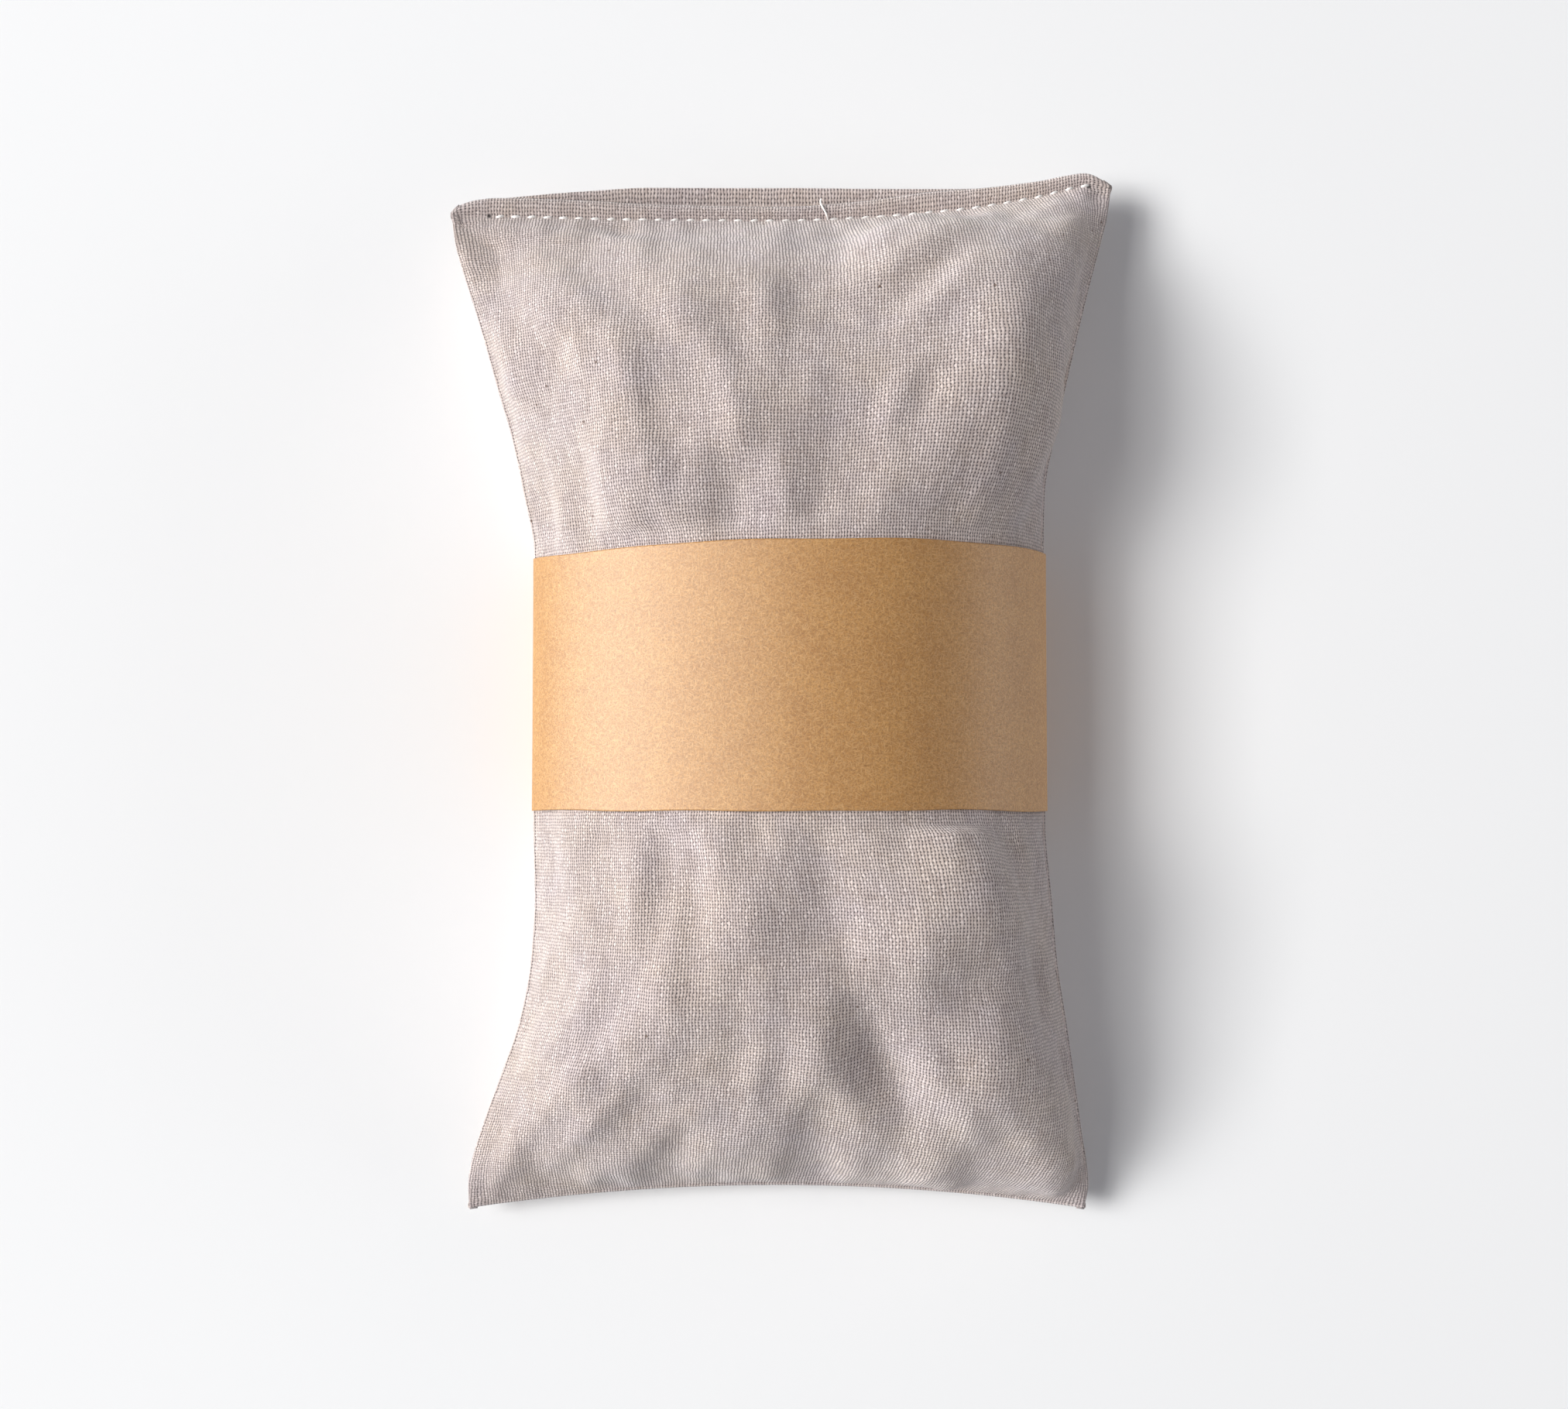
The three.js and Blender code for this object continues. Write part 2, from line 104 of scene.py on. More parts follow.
def add(
    tree: bpy.types.NodeTree, kind: str, links: dict[Any, Any] | None = None, **settings: Any
) -> Any:
    """Adds a node with its settings and links.

    Args:
        tree: The tree that gets the node.
        kind: The node's type name.
        links: For each input, by name or number, the socket that feeds it or a plain value.
        settings: Properties of the node itself.

    Returns:
        The node.
    """
    made = tree.nodes.new(kind)
    for name, value in settings.items():
        setattr(made, name, value)
    for key, value in (links or {}).items():
        if isinstance(value, bpy.types.NodeSocket):
            tree.links.new(value, made.inputs[key])
        else:
            made.inputs[key].default_value = value
    return made


def new_material(
    name: str, surface: dict[str, Any]
) -> tuple[bpy.types.Material, bpy.types.NodeTree, Any]:
    """Starts a material on a principled shader.

    Args:
        name: The material's name.
        surface: Values of the shader's named inputs.

    Returns:
        The material, its tree and the shader node.
    """
    material = bpy.data.materials.new(name)
    material.use_nodes = True
    tree = material.node_tree
    shader = tree.nodes["Principled BSDF"]
    for key, value in surface.items():
        shader.inputs[key].default_value = value
    return material, tree, shader


def through(stations: Stations, at: np.ndarray) -> np.ndarray:
    """Runs a smooth line through stations, without overshoot.

    Args:
        stations: Places and values, in rising order of place.
        at: The places to read.

    Returns:
        The line's value at each place.
    """
    place, value = np.array(stations, float).T
    run = np.diff(place)
    rate = np.diff(value) / run
    slope = np.empty_like(value)
    slope[0], slope[-1] = rate[0], rate[-1]
    same = rate[:-1] * rate[1:] > 0
    total = np.where(same, rate[:-1] + rate[1:], 1)
    slope[1:-1] = np.where(same, 2 * rate[:-1] * rate[1:] / total, 0)
    at = np.clip(at, place[0], place[-1])
    k = np.clip(np.searchsorted(place, at, side="right") - 1, 0, len(run) - 1)
    t = (at - place[k]) / run[k]
    rise = value[k] * (1 + 2 * t) * (1 - t) ** 2 + value[k + 1] * t**2 * (3 - 2 * t)
    return rise + run[k] * (slope[k] * t * (1 - t) ** 2 - slope[k + 1] * t**2 * (1 - t))


def finer(grid: Grid, at: np.ndarray, axis: int) -> Grid:
    """Reads a grid of points between its lines with a smooth cubic.

    Args:
        grid: Points in rows and columns.
        at: Line numbers to read, whole or in between.
        axis: 0 to read rows, 1 to read columns.

    Returns:
        The grid with as many lines along that axis as were asked for.
    """
    grid = np.moveaxis(grid, axis, 0)
    last = len(grid) - 1
    k = np.clip(np.floor(at).astype(int), 0, last - 1)
    t = (at - k)[:, None, None]
    a, b, c, d = (grid[np.clip(k + step, 0, last)] for step in (-1, 0, 1, 2))
    read = b + 0.5 * t * (c - a + t * (2 * a - 5 * b + 4 * c - d + t * (3 * (b - c) + d - a)))
    return np.moveaxis(read, 0, axis)


def normals_of(grid: Grid) -> Grid:
    """Gives the unit normal at each point of a grid, on the side where columns turn into rows.

    Args:
        grid: Points in rows and columns.

    Returns:
        One unit vector for each point.
    """
    across = np.gradient(grid, axis=1)
    along = np.gradient(grid, axis=0)
    normal = np.cross(across, along)
    return normal / np.maximum(np.linalg.norm(normal, axis=2, keepdims=True), TINY)


def lengths(points: np.ndarray, axis: int) -> np.ndarray:
    """Measures the way along lines of points.

    Args:
        points: A line or a grid of points, with the coordinates last.
        axis: The axis that runs along the lines.

    Returns:
        The length from the start of its line to each point.
    """
    first = np.take(points, [0], axis=axis)
    steps = np.linalg.norm(np.diff(points, axis=axis, prepend=first), axis=-1)
    return np.cumsum(steps, axis=axis)


def shell_faces(high: int, wide: int) -> np.ndarray:
    """Numbers the faces of a sheet with two skins and a rim between them.

    Args:
        high: Rows of points in each skin.
        wide: Columns of points in each skin.

    Returns:
        Four vertex numbers for each face, for points that list the upper skin first.
    """
    number = np.arange(high * wide).reshape(high, wide)
    quads = np.stack([number[:-1, :-1], number[:-1, 1:], number[1:, 1:], number[1:, :-1]], -1)
    quads = quads.reshape(-1, 4)
    ring = np.concatenate([number[0], number[1:, -1], number[-1, -2::-1], number[-2:0:-1, 0]])
    after = np.roll(ring, -1)
    rim = np.stack([after, ring, ring + high * wide, after + high * wide], -1)
    return np.vstack([quads, quads[:, ::-1] + high * wide, rim])


def smooth(share: np.ndarray) -> np.ndarray:
    """Eases a share from 0 to 1, flat at both ends."""
    share = np.clip(share, 0, 1)
    return share * share * (3 - 2 * share)


def new_piece(
    name: str,
    points: np.ndarray,
    faces: Sequence[Sequence[int]] | np.ndarray,
    material: bpy.types.Material | None,
    cut: np.ndarray | None = None,
) -> bpy.types.Object:
    """Makes a smooth mesh object from points in millimetres.

    Args:
        name: The piece's name.
        points: One row of X, Y and Z for each vertex.
        faces: Vertex numbers of each face, outward side anticlockwise.
        material: The finish, or None.
        cut: For each vertex, its place on the flat cut in metres, kept as the UV map "cut".

    Returns:
        The object, linked to the scene.
    """
    mesh = bpy.data.meshes.new(name)
    mesh.from_pydata(np.asarray(points, float) * MM, [], [list(f) for f in faces])
    mesh.shade_smooth()
    if cut is not None:
        layer = mesh.uv_layers.new(name="cut")
        corners = np.empty(len(mesh.loops), np.int32)
        mesh.loops.foreach_get("vertex_index", corners)
        layer.data.foreach_set("uv", np.asarray(cut, np.float32)[corners].ravel())
    if material is not None:
        mesh.materials.append(material)
    made = bpy.data.objects.new(name, mesh)
    bpy.context.scene.collection.objects.link(made)
    return made


def grown(
    name: str, source: bpy.types.Object, tree: bpy.types.NodeTree, sizes: dict[str, Any]
) -> bpy.types.Object:
    """Runs a geometry tree on an object and keeps the result as a plain mesh.

    Args:
        name: The new piece's name.
        source: The object that carries the path or surface; it is removed afterwards.
        tree: The geometry tree.
        sizes: Values of the tree's named inputs.

    Returns:
        The piece, linked to the scene.
    """
    modifier = source.modifiers.new("grow", "NODES")
    modifier.node_group = tree
    for item in tree.interface.items_tree:
        if item.item_type == "SOCKET" and item.name in sizes:
            modifier[item.identifier] = sizes[item.name]
    source.update_tag()
    depsgraph = bpy.context.evaluated_depsgraph_get()
    mesh = bpy.data.meshes.new_from_object(source.evaluated_get(depsgraph))
    mesh.name = name
    mesh.shade_smooth()
    made = bpy.data.objects.new(name, mesh)
    bpy.context.scene.collection.objects.link(made)
    bpy.data.objects.remove(source)
    return made


def new_tree(name: str, inputs: dict[str, str]) -> tuple[bpy.types.NodeTree, Any]:
    """Starts a geometry tree with named inputs.

    Args:
        name: The tree's name.
        inputs: Each input's name and socket type, the geometry first.

    Returns:
        The tree and its input node.
    """
    tree = bpy.data.node_groups.new(name, "GeometryNodeTree")
    for label, kind in inputs.items():
        tree.interface.new_socket(label, in_out="INPUT", socket_type=kind)
    tree.interface.new_socket("Geometry", in_out="OUTPUT", socket_type="NodeSocketGeometry")
    return tree, add(tree, "NodeGroupInput")


@dataclass(frozen=True)
class Cotton:
    """Plain-woven cotton, dyed a pale grey mauve: matt, of slubby threads with painted shade in the
    pinholes between them.

    Sizes are in millimetres. Each pair of limits says from where to where a pattern's value is spread.
    The stand of warp and weft is their height and how deep they dip under each other, as shares.
    """

    warp_pitch: float = 0.41
    weft_pitch: float = 0.44
    wander: float = 0.42
    wander_length: float = 1.4
    slub_length: float = 3.2
    slub_step: float = 1.7
    slub_shift: float = 40.0
    slub_limits: tuple[float, float] = (0.32, 0.64)
    stand: tuple[tuple[float, float], ...] = ((1.0, 0.3), (0.8, 0.5))
    # Share by which the weft, which lies lower than the warp, is mixed towards the shade colour: painted
    # shade on the sunk threads
    sunk: float = 0.45
    patch: float = 14.0
    patch_limits: tuple[float, float] = (0.35, 0.65)
    dye_share: float = 0.3
    # The grooves beside the threads and the pinholes between them are darkened towards the gap colour:
    # painted shade where the threads dip and part
    groove_limits: tuple[float, float] = (0.1, 0.6)
    groove_painted_shade: float = 0.2
    pinhole_limits: tuple[float, float] = (0.35, 0.88)
    pinhole_painted_shade: float = 0.92
    weft_cover: float = 0.8
    fleck_spacing: float = 5.0
    fleck_limits: tuple[float, float] = (0.05, 0.03)
    fleck_dark: float = 0.8
    relief: float = 0.12
    pale: str = "#FFF3ED"
    dull: str = "#CBBBB4"
    # Colour of the painted shade on the lower weft
    shade: str = "#DACAC3"
    # Colour of the painted shade in the grooves and the pinholes
    gap: str = "#43383A"
    warm: str = "#D8C6B4"
    cool: str = "#BDB2BC"
    fleck: str = "#6B5141"
    # The needle holes at the ends of the closing seam are painted as dark spots on flat cloth: painted
    # shade in the holes
    needle_holes: tuple[tuple[float, float], ...] = ((-40.8, 66.2), (42.2, 70.25))
    needle_limits: tuple[float, float] = (0.16, 0.4)
    needle_share: float = 0.9
    needle_painted_shade: str = "#2E2626"

    def material(self) -> bpy.types.Material:
        """Builds the cloth from its flat cut, so that the threads run along each panel.

        Returns:
            The finish of both panels.
        """
        made, tree, shader = new_material(
            "woven cotton",
            {
                "Roughness": 0.92,
                "Diffuse Roughness": 1.0,
                "IOR": 1.46,
                "Specular IOR Level": 0.2,
                "Sheen Weight": 0.3,
                "Sheen Roughness": 0.5,
            },
        )
        cut = add(tree, "ShaderNodeUVMap", uv_map="cut").outputs[0]
        height, woven = self.weave(tree, cut)
        specked = self.specked(tree, cut, woven)
        tree.links.new(specked, shader.inputs["Base Color"])
        relief = {"Strength": 1.0, "Distance": self.relief * MM, "Height": height}
        tree.links.new(add(tree, "ShaderNodeBump", relief).outputs[0], shader.inputs["Normal"])
        return made

    def strands(self, tree: bpy.types.NodeTree, cut: Any) -> tuple[list[Any], list[Any], list[Any]]:
        """Lays the warp and the weft, which wander a little.

        Args:
            tree: The cloth's tree.
            cut: The place on the flat cut.

        Returns:
            For warp and weft, sockets of each thread's round, its number and its tone along its length.
        """
        swing = {"Vector": cut, "Scale": 1 / (self.wander_length * MM), "Detail": 2.0}
        sway = add(tree, "ShaderNodeTexNoise", swing).outputs["Color"]
        amount = (self.wander * MM, self.wander * MM, 0.0)
        moved = {0: sway, 1: amount, 2: cut}
        laid = add(tree, "ShaderNodeVectorMath", moved, operation="MULTIPLY_ADD").outputs[0]
        each = (1 / (self.warp_pitch * MM), 1 / (self.weft_pitch * MM), 1.0)
        threads = add(tree, "ShaderNodeVectorMath", {0: laid, 1: each}, operation="MULTIPLY").outputs[0]
        split = add(tree, "ShaderNodeSeparateXYZ", {0: threads})
        rounds, counts, tones = [], [], []
        for axis, pitch in enumerate((self.weft_pitch, self.warp_pitch)):
            place, other = split.outputs[axis], split.outputs[1 - axis]
            share = add(tree, "ShaderNodeMath", {0: place}, operation="FRACT").outputs[0]
            rest = add(tree, "ShaderNodeMath", {0: 1.0, 1: share}, operation="SUBTRACT").outputs[0]
            bulge = add(tree, "ShaderNodeMath", {0: share, 1: rest}, operation="MULTIPLY").outputs[0]
            rounds.append(add(tree, "ShaderNodeMath", {0: bulge, 1: 4.0}, operation="MULTIPLY").outputs[0])
            counts.append(add(tree, "ShaderNodeMath", {0: place}, operation="FLOOR").outputs[0])
            stretch = {0: other, 1: pitch / self.slub_length}
            run = add(tree, "ShaderNodeMath", stretch, operation="MULTIPLY").outputs[0]
            apart = {0: counts[axis], 1: self.slub_step}
            strand = add(tree, "ShaderNodeMath", apart, operation="MULTIPLY").outputs[0]
            along = {0: strand, 1: run, 2: self.slub_shift * axis}
            spot = add(tree, "ShaderNodeCombineXYZ", along).outputs[0]
            slubs = {"Vector": spot, "Scale": 1.0, "Detail": 2.0}
            tones.append(add(tree, "ShaderNodeTexNoise", slubs).outputs[0])
        return rounds, counts, tones

    def weave(self, tree: bpy.types.NodeTree, cut: Any) -> tuple[Any, Any]:
        """Crosses the warp and the weft, with painted shade on the lower weft, in the grooves and in the
        pinholes.

        Args:
            tree: The cloth's tree.
            cut: The place on the flat cut.

        Returns:
            Sockets of the cloth's height and of its colour.
        """
        rounds, counts, tones = self.strands(tree, cut)
        heights = []
        for over, (stand, dip) in enumerate(self.stand):
            body = add(tree, "ShaderNodeMath", {0: rounds[over]}, operation="SQRT").outputs[0]
            crossing = {0: rounds[1 - over], 1: dip * stand, 2: (1 - dip) * stand}
            arch = add(tree, "ShaderNodeMath", crossing, operation="MULTIPLY_ADD").outputs[0]
            heights.append(add(tree, "ShaderNodeMath", {0: body, 1: arch}, operation="MULTIPLY").outputs[0])
        both = add(tree, "ShaderNodeMath", {0: counts[0], 1: counts[1]}, operation="ADD").outputs[0]
        weft = add(tree, "ShaderNodeMath", {0: both, 1: 2.0}, operation="MODULO").outputs[0]
        height = add(tree, "ShaderNodeMix", {0: weft, 2: heights[0], 3: heights[1]}).outputs[0]
        tone = add(tree, "ShaderNodeMix", {0: weft, 2: tones[0], 3: tones[1]}).outputs[0]
        low, high = self.slub_limits
        even = add(tree, "ShaderNodeMapRange", {0: tone, 1: low, 2: high}).outputs[0]
        ends = {0: even, 6: linear(self.dull), 7: linear(self.pale)}
        yarn = add(tree, "ShaderNodeMix", ends, data_type="RGBA").outputs[2]
        # Painted shade: the weft cells, which lie lower, are mixed towards the shade colour
        sunk = add(tree, "ShaderNodeMath", {0: weft, 1: self.sunk}, operation="MULTIPLY").outputs[0]
        ends = {0: sunk, 6: yarn, 7: linear(self.shade)}
        yarn = add(tree, "ShaderNodeMix", ends, data_type="RGBA").outputs[2]
        clouds = {"Vector": cut, "Scale": 1 / (self.patch * MM), "Detail": 5.0, "Roughness": 0.7}
        patches = add(tree, "ShaderNodeTexNoise", clouds).outputs[0]
        low, high = self.patch_limits
        warmth = add(tree, "ShaderNodeMapRange", {0: patches, 1: low, 2: high}).outputs[0]
        ends = {0: warmth, 6: linear(self.cool), 7: linear(self.warm)}
        dye = add(tree, "ShaderNodeMix", ends, data_type="RGBA").outputs[2]
        dyed = add(tree, "ShaderNodeMix", {0: self.dye_share, 6: yarn, 7: dye}, data_type="RGBA").outputs[2]
        # Painted shade in the grooves, where the height is low, and in the pinholes, where the threads
        # part; the gap colour stands for that shade
        low, high = self.groove_limits
        groove = {0: height, 1: low, 2: high, 3: self.groove_painted_shade, 4: 0.0}
        beside = add(tree, "ShaderNodeMapRange", groove).outputs[0]
        cover = {0: rounds[1], 1: self.weft_cover}
        filled = add(tree, "ShaderNodeMath", cover, operation="MULTIPLY").outputs[0]
        closed = add(tree, "ShaderNodeMath", {0: rounds[0], 1: filled}, operation="MAXIMUM").outputs[0]
        low, high = self.pinhole_limits
        pinhole = {0: closed, 1: low, 2: high, 3: self.pinhole_painted_shade, 4: 0.0}
        hole = add(tree, "ShaderNodeMapRange", pinhole).outputs[0]
        dark = add(tree, "ShaderNodeMath", {0: beside, 1: hole}, operation="MAXIMUM").outputs[0]
        ends = {0: dark, 6: dyed, 7: linear(self.gap)}
        return height, add(tree, "ShaderNodeMix", ends, data_type="RGBA").outputs[2]

    def specked(self, tree: bpy.types.NodeTree, cut: Any, woven: Any) -> Any:
        """Strews flecks of husk over the cloth and paints the shade of a needle hole at each end of the
        closing seam.

        Args:
            tree: The cloth's tree.
            cut: The place on the flat cut.
            woven: The socket of the cloth's colour.

        Returns:
            The socket of the colour with the flecks and the painted shade of the needle holes.
        """
        spread = {"Vector": cut, "Scale": 1 / (self.fleck_spacing * MM)}
        specks = add(tree, "ShaderNodeTexVoronoi", spread).outputs[0]
        rim, middle = self.fleck_limits
        spot = {0: specks, 1: rim, 2: middle, 3: 0.0, 4: self.fleck_dark}
        near = add(tree, "ShaderNodeMapRange", spot).outputs[0]
        ends = {0: near, 6: woven, 7: linear(self.fleck)}
        flecked = add(tree, "ShaderNodeMix", ends, data_type="RGBA").outputs[2]
        # Painted shade: a dark spot at each needle hole
        place = add(tree, "ShaderNodeTexCoord").outputs["Object"]
        flat = {0: place, 1: (1.0, 1.0, 0.0)}
        level = add(tree, "ShaderNodeVectorMath", flat, operation="MULTIPLY").outputs[0]
        middle, rim = (limit * MM for limit in self.needle_limits)
        for x, y in self.needle_holes:
            centre = {0: level, 1: (x * MM, y * MM, 0.0)}
            away = add(tree, "ShaderNodeVectorMath", centre, operation="DISTANCE").outputs["Value"]
            spot = {0: away, 1: middle, 2: rim, 3: self.needle_share, 4: 0.0}
            within = add(tree, "ShaderNodeMapRange", spot).outputs[0]
            ends = {0: within, 6: flecked, 7: linear(self.needle_painted_shade)}
            flecked = add(tree, "ShaderNodeMix", ends, data_type="RGBA").outputs[2]
        return flecked


@dataclass(frozen=True)
class CottonThread:
    """Spun white cotton thread: matt, and brighter than the cloth."""

    white: str = "#FBF8F4"
    shade: str = "#EDE7E1"
    ply: float = 0.35

    def material(self) -> bpy.types.Material:
        """Builds the thread with a faint change of tone from ply to ply.

        Returns:
            The finish of all the thread.
        """
        surface = {"Roughness": 0.85, "Specular IOR Level": 0.25}
        made, tree, shader = new_material("spun cotton thread", surface)
        place = add(tree, "ShaderNodeTexCoord").outputs["Object"]
        twist = {"Vector": place, "Scale": 1 / (self.ply * MM), "Detail": 2.0}
        plies = add(tree, "ShaderNodeTexNoise", twist).outputs[0]
        ends = {0: plies, 6: linear(self.white), 7: linear(self.shade)}
        colour = add(tree, "ShaderNodeMix", ends, data_type="RGBA").outputs[2]
        tree.links.new(colour, shader.inputs["Base Color"])
        return made


@dataclass(frozen=True)
class KraftPaper:
    """Uncoated kraft paper: warm brown, felted from short pale and dark fibres that lie every way.

    Sizes are in millimetres. Each pair of limits says from where to where a pattern's value is spread.
    The fibres are drawn wider than real ones, which would be too fine to show.
    """

    brown: str = "#B98748"
    pale: str = "#DBB27B"
    dark: str = "#7B5329"
    shade: str = "#A57339"
    fibre_width: float = 0.085
    fibre_length: float = 0.5
    fibre_turns: tuple[float, ...] = (12.0, 58.0, 97.0, 151.0)
    fibre_limits: tuple[float, float] = (0.54, 0.74)
    dark_share: float = 0.42
    pale_share: float = 0.4
    pale_shift: float = 37.0
    grain: float = 0.3
    grain_limits: tuple[float, float] = (0.32, 0.62)
    grain_dark: float = 0.75
    cloud: float = 5.0
    cloud_limits: tuple[float, float] = (0.35, 0.7)
    cloud_share: float = 0.8
    relief: float = 0.03
    relief_share: float = 0.3

    def fibres(self, tree: bpy.types.NodeTree, cut: Any, shift: float) -> Any:
        """Strews short fibres over the paper.

        Args:
            tree: The paper's tree.
            cut: The place on the flat strip.
            shift: How far the pattern is moved, which makes a new one.

        Returns:
            A socket that is 1 on a fibre and 0 between them.
        """
        low, high = self.fibre_limits
        slim = (self.fibre_width / self.fibre_length, 1.0, 1.0)
        laid = None
        for turn in self.fibre_turns:
            turned = {
                "Vector": cut,
                "Location": (shift * MM, turn * MM, 0.0),
                "Rotation": (0.0, 0.0, math.radians(turn)),
            }
            spun = add(tree, "ShaderNodeMapping", turned).outputs[0]
            drawn = add(tree, "ShaderNodeMapping", {"Vector": spun, "Scale": slim}).outputs[0]
            strewn = {"Vector": drawn, "Scale": 0.5 / (self.fibre_width * MM), "Detail": 1.0}
            noise = add(tree, "ShaderNodeTexNoise", strewn).outputs[0]
            one = add(tree, "ShaderNodeMapRange", {0: noise, 1: low, 2: high}).outputs[0]
            if laid is not None:
                one = add(tree, "ShaderNodeMath", {0: laid, 1: one}, operation="MAXIMUM").outputs[0]
            laid = one
        return laid

    def material(self) -> bpy.types.Material:
        """Builds the paper from the strip's flat cut.

        Returns:
            The band's finish.
        """
        surface = {"Roughness": 0.5, "IOR": 1.5, "Specular IOR Level": 0.64}
        made, tree, shader = new_material("uncoated kraft paper", surface)
        cut = add(tree, "ShaderNodeUVMap", uv_map="cut").outputs[0]
        felt = {"Vector": cut, "Scale": 1 / (self.grain * MM), "Detail": 3.0, "Roughness": 0.7}
        grain = add(tree, "ShaderNodeTexNoise", felt).outputs[0]
        felt = {"Vector": cut, "Scale": 1 / (self.cloud * MM), "Detail": 4.0, "Roughness": 0.65}
        clouds = add(tree, "ShaderNodeTexNoise", felt).outputs[0]
        low, high = self.cloud_limits
        spread = {0: clouds, 1: low, 2: high, 3: 0.0, 4: self.cloud_share}
        uneven = add(tree, "ShaderNodeMapRange", spread).outputs[0]
        ends = {0: uneven, 6: linear(self.brown), 7: linear(self.shade)}
        colour = add(tree, "ShaderNodeMix", ends, data_type="RGBA").outputs[2]
        low, high = self.grain_limits
        spread = {0: grain, 1: low, 2: high, 3: self.grain_dark, 4: 0.0}
        specks = add(tree, "ShaderNodeMapRange", spread).outputs[0]
        ends = {0: specks, 6: colour, 7: linear(self.dark)}
        colour = add(tree, "ShaderNodeMix", ends, data_type="RGBA").outputs[2]
        kinds = ((0.0, self.dark_share, self.dark), (self.pale_shift, self.pale_share, self.pale))
        for shift, share, tone in kinds:
            strewn = {0: self.fibres(tree, cut, shift), 1: share}
            part = add(tree, "ShaderNodeMath", strewn, operation="MULTIPLY").outputs[0]
            ends = {0: part, 6: colour, 7: linear(tone)}
            colour = add(tree, "ShaderNodeMix", ends, data_type="RGBA").outputs[2]
        tree.links.new(colour, shader.inputs["Base Color"])
        relief = {"Strength": self.relief_share, "Distance": self.relief * MM, "Height": grain}
        tree.links.new(add(tree, "ShaderNodeBump", relief).outputs[0], shader.inputs["Normal"])
        return made


@dataclass(frozen=True)
class DriedBuds:
    """Dried lavender: matt buds of a dusty violet that turns grey green here and there."""

    violet: str = "#6C5F86"
    green: str = "#827D68"
    size: float = 5.0
    limits: tuple[float, float] = (0.4, 0.65)

    def material(self) -> bpy.types.Material:
        """Builds the buds' colour, which drifts over the heap.

        Returns:
            The filling's finish.
        """
        surface = {"Roughness": 0.9, "Specular IOR Level": 0.2}
        made, tree, shader = new_material("dried lavender buds", surface)
        place = add(tree, "ShaderNodeTexCoord").outputs["Object"]
        noise = {"Vector": place, "Scale": 1 / (self.size * MM), "Detail": 2.0}
        drift = add(tree, "ShaderNodeTexNoise", noise).outputs[0]
        low, high = self.limits
        spread = add(tree, "ShaderNodeMapRange", {0: drift, 1: low, 2: high}).outputs[0]
        ends = {0: spread, 6: linear(self.violet), 7: linear(self.green)}
        colour = add(tree, "ShaderNodeMix", ends, data_type="RGBA").outputs[2]
        tree.links.new(colour, shader.inputs["Base Color"])
        return made


@dataclass(frozen=True)
class DryGlue:
    """Dry paper glue: a thin amber film, a little glossy."""

    amber: str = "#D9C49A"

    def material(self) -> bpy.types.Material:
        """Builds the film of glue."""
        surface = {"Base Color": linear(self.amber), "Roughness": 0.35, "IOR": 1.48}
        return new_material("dry paper glue", surface)[0]


@dataclass(frozen=True)
class Fold:
    """A fold that the stuffing and the band leave in the front panel.

    The path is its crest, or its groove where the lift is negative, seen from above. Left and right
    are how far it runs out towards -X and +X.
    """

    path: tuple[tuple[float, float], ...]
    lift: float
    left: float
    right: float
    steps: int = 48
    taper: float = 0.8

    def lifts(self, grid: Grid) -> np.ndarray:
        """Works out how far the fold raises each point of a grid.

        Args:
            grid: The refined front panel.

        Returns:
            The rise at each point, which fades out at the path's ends.
        """
        knots = np.array(self.path, float)
        share = np.linspace(0, len(knots) - 1, self.steps)
        line = np.column_stack([np.interp(share, range(len(knots)), knots[:, k]) for k in (0, 1)])
        away = grid[..., None, :2] - line
        distance = np.linalg.norm(away, axis=-1)
        nearest = distance.argmin(axis=-1)
        heading = np.gradient(line, axis=0)[nearest]
        step = np.take_along_axis(away, nearest[..., None, None], axis=-2)[..., 0, :]
        turn = heading[..., 0] * step[..., 1] - heading[..., 1] * step[..., 0]
        width = np.where(turn * np.sign(heading[..., 1]) > 0, self.left, self.right)
        fade = np.abs(np.sin(np.pi * nearest / (len(line) - 1))) ** self.taper
        return self.lift * fade * np.exp(-((distance.min(axis=-1) / width) ** 2))


